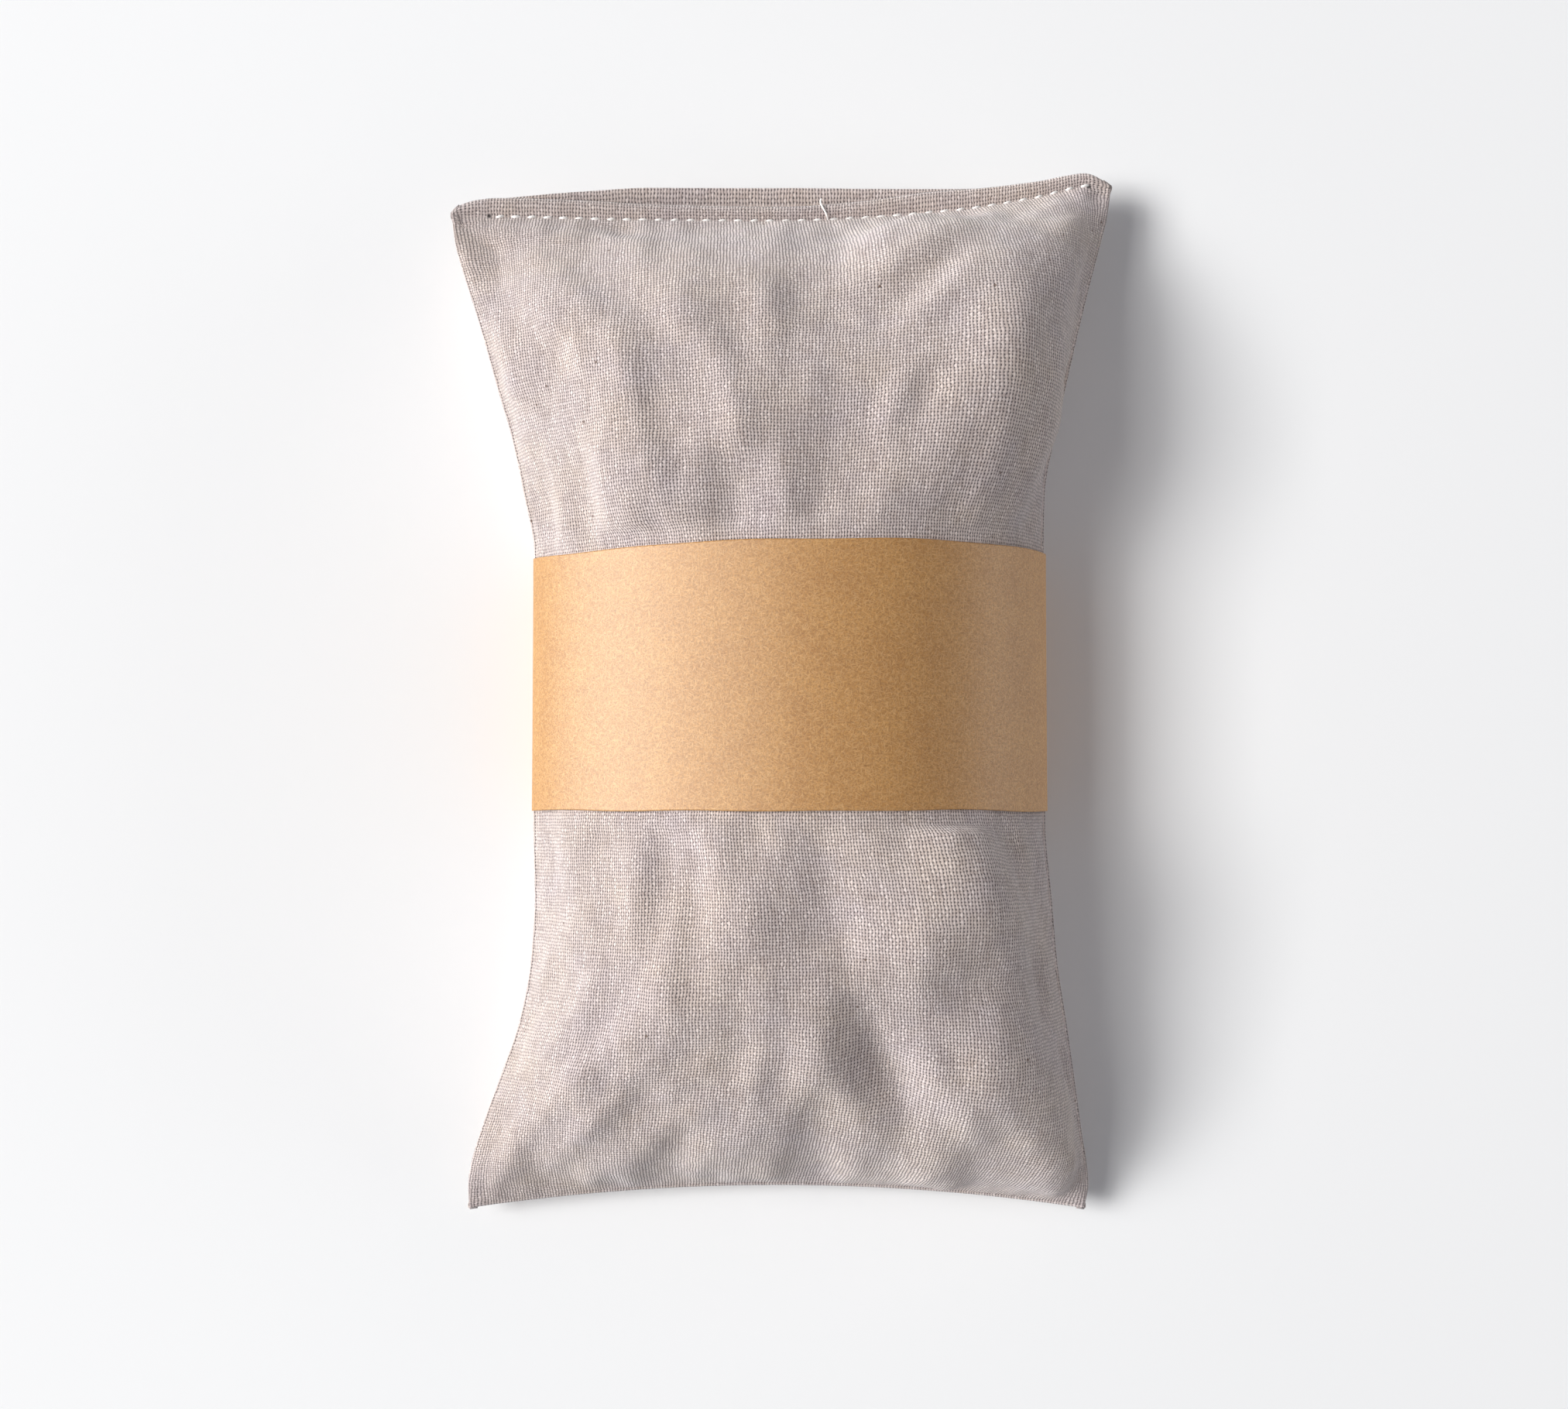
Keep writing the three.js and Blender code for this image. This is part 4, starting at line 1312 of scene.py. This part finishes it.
@dataclass
class Stitching:
    """Rows of machine stitches: short arcs of thread that dive into the cloth at each needle hole.

    Lengths are in millimetres. Slant and scatter turn the arcs, in degrees. The closing row is drawn
    in a thicker thread than the hidden seam, as it looks on the real mouth.
    """

    pitch: float = 2.18
    thread: float = 0.5
    rise: float = 1.02
    dive: float = 0.95
    hidden_thread: float = 0.3
    hidden_rise: float = 0.5
    hidden_lift: float = 0.2
    slant: float = 11.0
    scatter: float = 9.0
    ends: tuple[float, float] = (-39.8, 41.7)
    seam_inset: float = 2.6
    seam_top: float = 61.0
    arc_points: int = 10
    sides: int = 8
    seed: int = 11

    def tree(self) -> bpy.types.NodeTree:
        """Builds the tree that sets one arc of thread at each step along a path.

        Returns:
            The geometry tree.
        """
        tree, given = new_tree(
            "stitches along a path",
            {
                "Path": "NodeSocketGeometry",
                "Pitch": "NodeSocketFloat",
                "Thread": "NodeSocketFloat",
                "Rise": "NodeSocketFloat",
                "Dive": "NodeSocketFloat",
                "Up": "NodeSocketVector",
                "Slant": "NodeSocketFloat",
                "Scatter": "NodeSocketFloat",
                "Seed": "NodeSocketInt",
                "Finish": "NodeSocketMaterial",
            },
        )
        value = given.outputs
        pitch, slant, scatter = value["Pitch"], value["Slant"], value["Scatter"]
        path = add(tree, "GeometryNodeMeshToCurve", {0: value["Path"]}).outputs[0]
        steps = add(tree, "GeometryNodeCurveToPoints", {"Curve": path, "Length": pitch}, mode="LENGTH")
        half = add(tree, "ShaderNodeMath", {0: pitch, 1: 0.5}, operation="MULTIPLY").outputs[0]
        back = add(tree, "ShaderNodeMath", {0: pitch, 1: -0.5}, operation="MULTIPLY").outputs[0]
        sunk = add(tree, "ShaderNodeMath", {0: value["Dive"], 1: -1.0}, operation="MULTIPLY").outputs[0]
        first = add(tree, "ShaderNodeCombineXYZ", {0: back, 2: sunk}).outputs[0]
        top = add(tree, "ShaderNodeCombineXYZ", {2: value["Rise"]}).outputs[0]
        last = add(tree, "ShaderNodeCombineXYZ", {0: half, 2: sunk}).outputs[0]
        bow = {"Resolution": self.arc_points, "Start": first, "Middle": top, "End": last}
        arc = add(tree, "GeometryNodeCurveQuadraticBezier", bow).outputs[0]
        radius = add(tree, "ShaderNodeMath", {0: value["Thread"], 1: 0.5}, operation="MULTIPLY").outputs[0]
        section = {"Resolution": self.sides, "Radius": radius}
        ring = add(tree, "GeometryNodeCurvePrimitiveCircle", section).outputs[0]
        swept = {"Curve": arc, "Profile Curve": ring, "Fill Caps": True}
        stitch = add(tree, "GeometryNodeCurveToMesh", swept).outputs[0]
        ways = {0: value["Up"], 1: steps.outputs["Tangent"]}
        turner = add(tree, "FunctionNodeAxesToRotation", ways, primary_axis="Z", secondary_axis="X")
        heading = turner.outputs[0]
        low = add(tree, "ShaderNodeMath", {0: slant, 1: scatter}, operation="SUBTRACT").outputs[0]
        high = add(tree, "ShaderNodeMath", {0: slant, 1: scatter}, operation="ADD").outputs[0]
        turns = {2: low, 3: high, "Seed": value["Seed"]}
        yaw = add(tree, "FunctionNodeRandomValue", turns, data_type="FLOAT").outputs[1]
        turn = add(tree, "ShaderNodeCombineXYZ", {2: yaw}).outputs[0]
        spin = add(tree, "FunctionNodeEulerToRotation", {0: turn}).outputs[0]
        both = {0: heading, 1: spin}
        turned = add(tree, "FunctionNodeRotateRotation", both, rotation_space="LOCAL").outputs[0]
        placed = {"Points": steps.outputs["Points"], "Instance": stitch, "Rotation": turned}
        row = add(tree, "GeometryNodeInstanceOnPoints", placed).outputs[0]
        real = add(tree, "GeometryNodeRealizeInstances", {0: row}).outputs[0]
        dressed = {"Geometry": real, "Material": value["Finish"]}
        done = add(tree, "GeometryNodeSetMaterial", dressed).outputs[0]
        add(tree, "NodeGroupOutput", {0: done})
        return tree

    def row(
        self,
        name: str,
        path: np.ndarray,
        side: Side,
        tree: bpy.types.NodeTree,
        thread: bpy.types.Material,
        hidden: bool = False,
    ) -> bpy.types.Object:
        """Sews one row of stitches along a path.

        Args:
            name: The piece's name.
            path: Points along the row.
            side: Which face the arcs stand on.
            tree: The tree of stitches.
            thread: The thread's finish.
            hidden: Whether the row is sewn inside the pouch, with the finer thread.

        Returns:
            The row as one mesh.
        """
        mesh = bpy.data.meshes.new(name + "_path")
        mesh.from_pydata(path * MM, [(k, k + 1) for k in range(len(path) - 1)], [])
        carrier = bpy.data.objects.new(name + "_path", mesh)
        bpy.context.scene.collection.objects.link(carrier)
        sizes = {
            "Pitch": self.pitch * MM,
            "Thread": (self.hidden_thread if hidden else self.thread) * MM,
            "Rise": (self.hidden_rise if hidden else self.rise) * MM,
            "Dive": self.dive * MM,
            "Up": tuple(side.up),
            "Slant": math.radians(self.slant),
            "Scatter": math.radians(self.scatter),
            "Seed": self.seed + side.value,
            "Finish": thread,
        }
        return grown(name, carrier, tree, sizes)

    def closing_path(self, grid: Grid) -> np.ndarray:
        """Takes the line of the closing stitches from a panel's sewn edge."""
        edge = grid[-1]
        return edge[(edge[:, 0] > self.ends[0]) & (edge[:, 0] < self.ends[1])]

    def seam_path(self, border: Grid, side: Side) -> np.ndarray:
        """Takes the hidden seam's line, down one side, along the foot and up the other.

        Args:
            border: A refined panel before it is sculpted, whose border is the seam.
            side: Which face the stitches stand on.

        Returns:
            Points along the seam, inside the pouch.
        """
        inset = self.seam_inset
        left = border[::-1, 0] + RIGHTWARD * inset
        right = border[:, -1] - RIGHTWARD * inset
        foot = border[0, 1:-1] + MOUTHWARD * inset
        bottom = foot[0, 1] + inset / 2
        left = left[(left[:, 1] < self.seam_top) & (left[:, 1] > bottom)]
        right = right[(right[:, 1] < self.seam_top) & (right[:, 1] > bottom)]
        foot = foot[(foot[:, 0] > left[-1, 0]) & (foot[:, 0] < right[0, 0])]
        return np.vstack([left, foot, right]) + side.up * self.hidden_lift


@dataclass
class ThreadTail:
    """The loose end of thread that lies over the front lip.

    The run gives X, and Y and Z from the sewn line, in millimetres.
    """

    thread: float = 0.26
    run: tuple[tuple[float, float, float], ...] = (
        (6.1, -0.1, 0.0),
        (5.9, 0.5, 0.62),
        (5.6, 1.1, 0.68),
        (5.3, 1.7, 0.55),
        (5.1, 2.2, 0.3),
        (5.05, 2.6, 0.12),
        (5.2, 2.9, 0.1),
    )
    sides: int = 8
    rings: int = 25

    def build(self, edge: Grid, thread: bpy.types.Material) -> bpy.types.Object:
        """Lays the tail from the sewn line over the lip.

        Args:
            edge: The front panel's sewn line.
            thread: The thread's finish.

        Returns:
            The tail.
        """
        knots = np.array(self.run)
        base = edge[np.abs(edge[:, 0] - knots[0, 0]).argmin()]
        knots = np.column_stack([knots[:, 0], base[1] + knots[:, 1], base[2] + knots[:, 2]])
        line = finer(knots[:, None, :], np.linspace(0, len(knots) - 1, self.rings), 0)[:, 0]
        heading = np.gradient(line, axis=0)
        heading /= np.linalg.norm(heading, axis=1, keepdims=True)
        flat = np.cross(heading, (0.0, 0.0, 1.0))
        flat /= np.linalg.norm(flat, axis=1, keepdims=True)
        upward = np.cross(flat, heading)
        angle = np.linspace(0, 2 * np.pi, self.sides, endpoint=False)
        cosine, sine = np.cos(angle)[None, :, None], np.sin(angle)[None, :, None]
        ring = cosine * flat[:, None] + sine * upward[:, None]
        points = (line[:, None] + ring * self.thread / 2).reshape(-1, 3)
        number = np.arange(len(points)).reshape(len(line), self.sides)
        after = np.roll(number, -1, axis=1)
        walls = np.stack([number[:-1], number[1:], after[1:], after[:-1]], -1).reshape(-1, 4)
        faces = [*walls.tolist(), number[0].tolist(), number[-1][::-1].tolist()]
        return new_piece("thread_end", points, faces, thread)


@dataclass
class BellyBand:
    """The kraft paper strip, wrapped round the waist and glued to itself under the pouch.

    Lengths are in millimetres. The strip stands off the cloth by the gap, and by more at the sides
    and underneath. Its cut edges wave a little, and flare where the strip is clear of the table.
    """

    width: float = 34.2
    centre: float = 1.1
    paper: float = 0.3
    gap: float = 0.35
    side_gap: float = 0.2
    under_gap: float = 0.35
    overlap: float = 12.0
    glue: float = 0.1
    step: float = 3.0
    edge_waves: tuple[float, ...] = (19.0, 31.0, 47.0)
    edge_wave: float = 0.06
    edge_share: float = 0.99
    flare: float = 0.03
    flare_power: int = 6
    flare_from: float = 4.0
    flare_over: float = 6.0
    cut_shift: float = 20.0
    eased_times: int = 6
    loop_points: int = 801
    pieces_round: int = 280
    pieces_across: int = 26
    seed: int = 3

    def loop(self, front: Grid, back: Grid) -> np.ndarray:
        """Finds the strip's middle line round the waist, from under the middle to the right and over.

        Args:
            front: The refined front panel before it is sculpted.
            back: The refined back panel before it is sculpted.

        Returns:
            The way round, X and Z of evenly spaced points, the first again at the end.
        """
        middle = front.shape[1] // 2
        row = int(np.abs(front[:, middle, 1] - self.centre).argmin())
        over, under = front[row][:, [0, 2]], back[row][:, [0, 2]]
        ring = np.vstack([under[middle:-1], over[::-1], under[1:middle]])
        for _ in range(self.eased_times):
            ring = (ring * 2 + np.roll(ring, 1, axis=0) + np.roll(ring, -1, axis=0)) / 4
        ahead = np.roll(ring, -1, axis=0) - np.roll(ring, 1, axis=0)
        outward = np.column_stack([ahead[:, 1], -ahead[:, 0]])
        outward /= np.linalg.norm(outward, axis=1, keepdims=True)
        room = self.gap + self.paper / 2 + self.side_gap * np.abs(outward[:, :1])
        room = room + self.under_gap * np.clip(-outward[:, 1:], 0, 1)
        ring = ring + outward * room
        ring = np.vstack([ring, ring[:1]])
        run = lengths(ring, 0)
        even = np.linspace(0, run[-1], self.loop_points)
        return np.column_stack([even, *(np.interp(even, run, ring[:, c]) for c in (0, 1))])

    def build(self, front: Grid, back: Grid, paper: bpy.types.Material) -> bpy.types.Object:
        """Bends the strip round the waist.

        Args:
            front: The refined front panel before it is sculpted.
            back: The refined back panel before it is sculpted.
            paper: The paper's finish.

        Returns:
            The band.
        """
        draw = np.random.default_rng(self.seed)
        loop = self.loop(front, back)
        total = loop[-1, 0]
        place = np.linspace(-self.overlap / 2, total + self.overlap / 2, self.pieces_round + 1)
        x = np.interp(place % total, loop[:, 0], loop[:, 1])
        z = np.maximum(np.interp(place % total, loop[:, 0], loop[:, 2]), self.paper / 2)
        lifted = 1 - smooth((place - self.overlap / 2) / self.step)
        z = z + (self.paper + self.glue) * lifted
        ahead = np.column_stack([np.gradient(x), np.gradient(z)])
        ahead /= np.linalg.norm(ahead, axis=1, keepdims=True)
        outward = np.column_stack([ahead[:, 1], np.zeros(len(x)), -ahead[:, 0]])[:, None]
        inner = np.linspace(-self.edge_share, self.edge_share, self.pieces_across + 1)
        share = np.concatenate([[-1], inner, [1]])
        edges = []
        for end in (-1, 1):
            waves = (np.sin(2 * np.pi * place / w + draw.uniform(0, FULL_TURN)) for w in self.edge_waves)
            edges.append(self.centre + end * self.width / 2 + sum(waves) * self.edge_wave)
        bottom, top = edges
        y = bottom[:, None] + (top - bottom)[:, None] * (share + 1) / 2
        clear = smooth((z - self.flare_from) / self.flare_over)
        flare = (self.flare * np.abs(share) ** self.flare_power)[None, :] * clear[:, None]
        across = np.ones(len(share))
        middle = np.stack([x[:, None] * across, y, z[:, None] * across], axis=-1)
        middle = middle + outward * flare[..., None]
        skins = [middle + outward * self.paper / 2, middle - outward * self.paper / 2]
        flat = np.meshgrid(place - place[0], share * self.width / 2 + self.cut_shift, indexing="ij")
        cut = np.stack(flat, axis=-1) * MM
        faces = shell_faces(*middle.shape[:2])[:, ::-1]
        points = np.vstack([skin.reshape(-1, 3) for skin in skins])
        return new_piece("kraft_band", points, faces, paper, np.vstack([cut.reshape(-1, 2)] * 2))


@dataclass
class Filling:
    """The dried lavender buds that stuff the pouch, heaped to its shape.

    Lengths are in millimetres. A bud's rings give the place along it and the half width, as shares.
    """

    shrink: tuple[float, float, float] = (0.8, 0.8, 0.62)
    centre: tuple[float, float, float] = (1.5, 0.0, 13.0)
    bud: tuple[float, float] = (5.6, 2.0)
    bud_rings: Stations = ((-0.5, 0.16), (-0.3, 0.36), (0.0, 0.5), (0.28, 0.44), (0.5, 0.26))
    bud_sides: int = 6
    bud_scales: tuple[float, float] = (0.8, 1.1)
    tilt: float = 0.4
    each_square_mm: float = 0.08
    seed: int = 5

    def bud_shape(self) -> bpy.types.Object:
        """Makes one bud, a six-sided drop that narrows to its stalk end.

        Returns:
            The bud, which lies along X.
        """
        length, width = self.bud
        angle = np.linspace(0, 2 * np.pi, self.bud_sides, endpoint=False)
        points = [
            (length * along, width * wide * math.cos(a), width * wide * math.sin(a))
            for along, wide in self.bud_rings
            for a in angle
        ]
        number = np.arange(len(points)).reshape(len(self.bud_rings), self.bud_sides)
        after = np.roll(number, -1, axis=1)
        walls = np.stack([number[:-1], after[:-1], after[1:], number[1:]], -1).reshape(-1, 4)
        faces = [*walls.tolist(), number[0][::-1].tolist(), number[-1].tolist()]
        return new_piece("one_bud", np.array(points), faces, None)

    def tree(self) -> bpy.types.NodeTree:
        """Builds the tree that strews buds over the heap.

        Returns:
            The geometry tree.
        """
        tree, given = new_tree(
            "buds over a heap",
            {
                "Heap": "NodeSocketGeometry",
                "Bud": "NodeSocketObject",
                "Density": "NodeSocketFloat",
                "Seed": "NodeSocketInt",
                "Finish": "NodeSocketMaterial",
            },
        )
        value = given.outputs
        seed = value["Seed"]
        spread = {"Mesh": value["Heap"], "Density": value["Density"], "Seed": seed}
        strewn = add(tree, "GeometryNodeDistributePointsOnFaces", spread)
        one = add(tree, "GeometryNodeObjectInfo", {0: value["Bud"]}).outputs["Geometry"]
        low, high = (-self.tilt, -self.tilt, 0.0), (self.tilt, self.tilt, FULL_TURN)
        leaning = {0: low, 1: high, "Seed": seed}
        lean = add(tree, "FunctionNodeRandomValue", leaning, data_type="FLOAT_VECTOR").outputs[0]
        spin = add(tree, "FunctionNodeEulerToRotation", {0: lean}).outputs[0]
        upright = {0: strewn.outputs["Rotation"], 1: spin}
        turned = add(tree, "FunctionNodeRotateRotation", upright, rotation_space="LOCAL").outputs[0]
        small, large = self.bud_scales
        scales = {2: small, 3: large, "Seed": seed}
        size = add(tree, "FunctionNodeRandomValue", scales, data_type="FLOAT").outputs[1]
        laid = {"Points": strewn.outputs["Points"], "Instance": one, "Rotation": turned, "Scale": size}
        buds = add(tree, "GeometryNodeInstanceOnPoints", laid).outputs[0]
        real = add(tree, "GeometryNodeRealizeInstances", {0: buds}).outputs[0]
        both = add(tree, "GeometryNodeJoinGeometry")
        tree.links.new(value["Heap"], both.inputs[0])
        tree.links.new(real, both.inputs[0])
        dressed = {"Geometry": both.outputs[0], "Material": value["Finish"]}
        done = add(tree, "GeometryNodeSetMaterial", dressed).outputs[0]
        add(tree, "NodeGroupOutput", {0: done})
        return tree

    def build(self, front: Grid, back: Grid, buds: bpy.types.Material) -> bpy.types.Object:
        """Heaps the buds inside the settled pouch.

        Args:
            front: The settled front panel.
            back: The settled back panel, with the same border.
            buds: The buds' finish.

        Returns:
            The heap as one mesh.
        """
        points, faces = closed_pouch(front, back)
        centre = np.array(self.centre)
        heap = new_piece("bud_heap", centre + (points - centre) * np.array(self.shrink), faces, None)
        bud = self.bud_shape()
        density = self.each_square_mm / MM**2
        sizes = {"Bud": bud, "Density": density, "Seed": self.seed, "Finish": buds}
        made = grown("lavender_buds", heap, self.tree(), sizes)
        bpy.data.objects.remove(bud)
        return made


@dataclass(frozen=True)
class SoftLight:
    """A large soft light that faces the object.

    The level is the brightness that it gives a white surface square to it.
    """

    name: str
    azimuth: float
    elevation: float
    away: float
    size: tuple[float, float]
    level: float

    def hang(self) -> bpy.types.Object:
        """Hangs the light.

        Returns:
            The lamp, linked to the scene.
        """
        lamp = bpy.data.lights.new(self.name, "AREA")
        lamp.shape = "RECTANGLE"
        lamp.size, lamp.size_y = (s * MM for s in self.size)
        lamp.energy = self.level * (math.pi * self.away * MM) ** 2
        hung = bpy.data.objects.new(self.name, lamp)
        turn, rise = math.radians(self.azimuth), math.radians(self.elevation)
        flat = math.cos(rise)
        toward = Vector((flat * math.cos(turn), flat * math.sin(turn), math.sin(rise)))
        hung.location = toward * self.away * MM
        hung.rotation_euler = toward.to_track_quat("Z", "Y").to_euler()
        bpy.context.scene.collection.objects.link(hung)
        return hung


@dataclass
class Studio:
    """The table, the window light from the left and the camera over the table.

    The table has a lamp of its own, which stands higher than the window and so gives a shorter shadow.
    """

    camera_height: float = 300.0
    camera_along: float = -16.0
    tilt: float = 2.85
    lens: float = 48.98
    sensor: float = 36.0
    clip_start: float = 10.0
    window: SoftLight = SoftLight(
        "window", azimuth=176.0, elevation=15.0, away=2500.0, size=(1900.0, 1100.0), level=1.52
    )
    skylight: SoftLight = SoftLight(
        "skylight", azimuth=176.0, elevation=50.0, away=2500.0, size=(1600.0, 1400.0), level=0.58
    )
    reflector: SoftLight = SoftLight(
        "reflector", azimuth=0.0, elevation=12.0, away=1500.0, size=(1400.0, 600.0), level=0.29
    )
    table_light: SoftLight = SoftLight(
        "table light", azimuth=176.0, elevation=46.0, away=2500.0, size=(900.0, 900.0), level=0.46
    )
    ambient: float = 0.22
    ambient_colour: str = "#E9EBF6"
    table_colour: str = "#FAFAF9"
    table_fade: tuple[float, float] = (170.0, 800.0)
    table_half: float = 6000.0
    table_drop: float = 0.05

    def build(self) -> None:
        """Sets the table, the lights, the surroundings and the camera."""
        table = bpy.data.collections.new("table")
        table.objects.link(self.table())
        beside = bpy.data.collections.new("beside the table")
        beside.objects.link(table.objects[0])
        beside.collection_objects[0].light_linking.link_state = "EXCLUDE"
        self.window.hang().light_linking.receiver_collection = beside
        self.table_light.hang().light_linking.receiver_collection = table
        self.skylight.hang()
        self.reflector.hang()
        self.surroundings()
        self.camera()

    def sight(self, tree: bpy.types.NodeTree) -> Any:
        """Tells rays that look at something from those that only light it.

        Args:
            tree: The tree that asks.

        Returns:
            A socket that is 1 for rays that look and 0 for the others.
        """
        path = add(tree, "ShaderNodeLightPath").outputs
        seen = path["Is Camera Ray"]
        for kind in ("Is Glossy Ray", "Is Transmission Ray"):
            seen = add(tree, "ShaderNodeMath", {0: seen, 1: path[kind]}, operation="MAXIMUM").outputs[0]
        return seen

    def table(self) -> bpy.types.Object:
        """Lays the pale table top, which runs out into plain white.

        Returns:
            The table top.
        """
        colour = linear(self.table_colour)
        surface = {"Base Color": colour, "Roughness": 0.9, "Specular IOR Level": 0.1}
        made, tree, shader = new_material("matt white table top", surface)
        place = add(tree, "ShaderNodeTexCoord").outputs["Object"]
        away = add(tree, "ShaderNodeVectorMath", {0: place}, operation="LENGTH").outputs["Value"]
        near, far = (r * MM for r in self.table_fade)
        limits = {0: away, 1: near, 2: far}
        fade = add(tree, "ShaderNodeMapRange", limits, interpolation_type="SMOOTHSTEP").outputs[0]
        seen = {0: fade, 1: self.sight(tree)}
        share = add(tree, "ShaderNodeMath", seen, operation="MULTIPLY").outputs[0]
        white = add(tree, "ShaderNodeEmission", {0: linear(WHITE), 1: 1.0}).outputs[0]
        mixed = add(tree, "ShaderNodeMixShader", {0: share, 1: shader.outputs[0], 2: white}).outputs[0]
        tree.links.new(mixed, tree.nodes["Material Output"].inputs[0])
        corners = np.array([(-1, -1), (1, -1), (1, 1), (-1, 1)]) * self.table_half
        points = np.column_stack([corners, np.full(len(corners), -self.table_drop)])
        top = new_piece("table_top", points, [(0, 1, 2, 3)], made)
        return top

    def surroundings(self) -> None:
        """Fills the room with a faint cool light; the camera sees plain white."""
        world = bpy.data.worlds.new("room")
        bpy.context.scene.world = world
        world.use_nodes = True
        tree = world.node_tree
        tree.nodes.clear()
        fill = add(tree, "ShaderNodeBackground", {0: linear(self.ambient_colour), 1: self.ambient})
        white = add(tree, "ShaderNodeBackground", {0: linear(WHITE), 1: 1.0})
        both = {0: self.sight(tree), 1: fill.outputs[0], 2: white.outputs[0]}
        seen = add(tree, "ShaderNodeMixShader", both)
        add(tree, "ShaderNodeOutputWorld", {0: seen.outputs[0]})

    def camera(self) -> None:
        """Stands the camera over the foot side of the band, looking almost straight down."""
        data = bpy.data.cameras.new("camera")
        data.lens = self.lens
        data.sensor_width = self.sensor
        data.sensor_fit = "HORIZONTAL"
        data.clip_start = self.clip_start * MM
        stood = bpy.data.objects.new("camera", data)
        stood.location = (0, self.camera_along * MM, self.camera_height * MM)
        stood.rotation_euler = (math.radians(self.tilt), 0, 0)
        bpy.context.scene.collection.objects.link(stood)
        bpy.context.scene.camera = stood


def dress(piece: bpy.types.Object, body: str, slot: str, *nodes: str) -> bpy.types.Object:
    """Ties a piece to its body and hides the CAD nodes it stands for.

    Args:
        piece: The finished piece.
        body: The CAD body it moves with.
        slot: The record's material slot; not used.
        nodes: The CAD nodes it replaces.

    Returns:
        The piece.
    """
    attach(piece, body)
    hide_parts(*nodes)
    LOG.info("%s: %d faces on %s", piece.name, len(piece.data.polygons), body)
    return piece


def main() -> None:
    """Builds the sachet piece by piece."""
    logging.basicConfig(level=logging.INFO, format="%(message)s")
    bpy.context.scene.view_settings.view_transform = "Standard"
    Studio().build()
    cotton, thread = Cotton().material(), CottonThread().material()
    pouch, stitching = Pouch(), Stitching()
    front, back = pouch.start(Side.FRONT), pouch.start(Side.BACK)
    back[0], back[-1], back[:, 0], back[:, -1] = front[0], front[-1], front[:, 0], front[:, -1]
    front, back = pouch.settle(front, back)
    plain = {Side.FRONT: pouch.fine(front), Side.BACK: pouch.fine(back)}
    sewn = {side: pouch.sculpt(grid, side) for side, grid in plain.items()}
    names = {Side.FRONT: ("cotton_front", "front_panel"), Side.BACK: ("cotton_back", "back_panel")}
    for side, (name, node) in names.items():
        points, faces, cut = pouch.panel(sewn[side], side)
        panel = dress(new_piece(name, points, faces, cotton, cut), "pouch", "cotton", node)
    rows = stitching.tree()
    for side, closing, seam in (
        (Side.FRONT, "closing_needle_thread", "seam_needle_thread"),
        (Side.BACK, "closing_bobbin_thread", "seam_bobbin_thread"),
    ):
        path = stitching.closing_path(sewn[side])
        stitches = stitching.row("sewn_" + closing, path, side, rows, thread)
        dress(stitches, "pouch", "cotton_thread", closing)
        path = stitching.seam_path(plain[Side.FRONT], side)
        stitches = stitching.row("sewn_" + seam, path, side, rows, thread, hidden=True)
        dress(stitches, "pouch", "cotton_thread", seam)
    dress(ThreadTail().build(sewn[Side.FRONT][-1], thread), "pouch", "cotton_thread", "thread_tail")
    buds = Filling().build(front, back, DriedBuds().material())
    dress(buds, "pouch", "dried_buds", "lavender_filling")
    band = BellyBand().build(plain[Side.FRONT], plain[Side.BACK], KraftPaper().material())
    dress(band, "band", "kraft_paper", "belly_band")
    film = frame["nodes"]["band_adhesive"]
    film.data.materials.clear()
    film.data.materials.append(DryGlue().material())


if __name__ == "__main__":
    main()
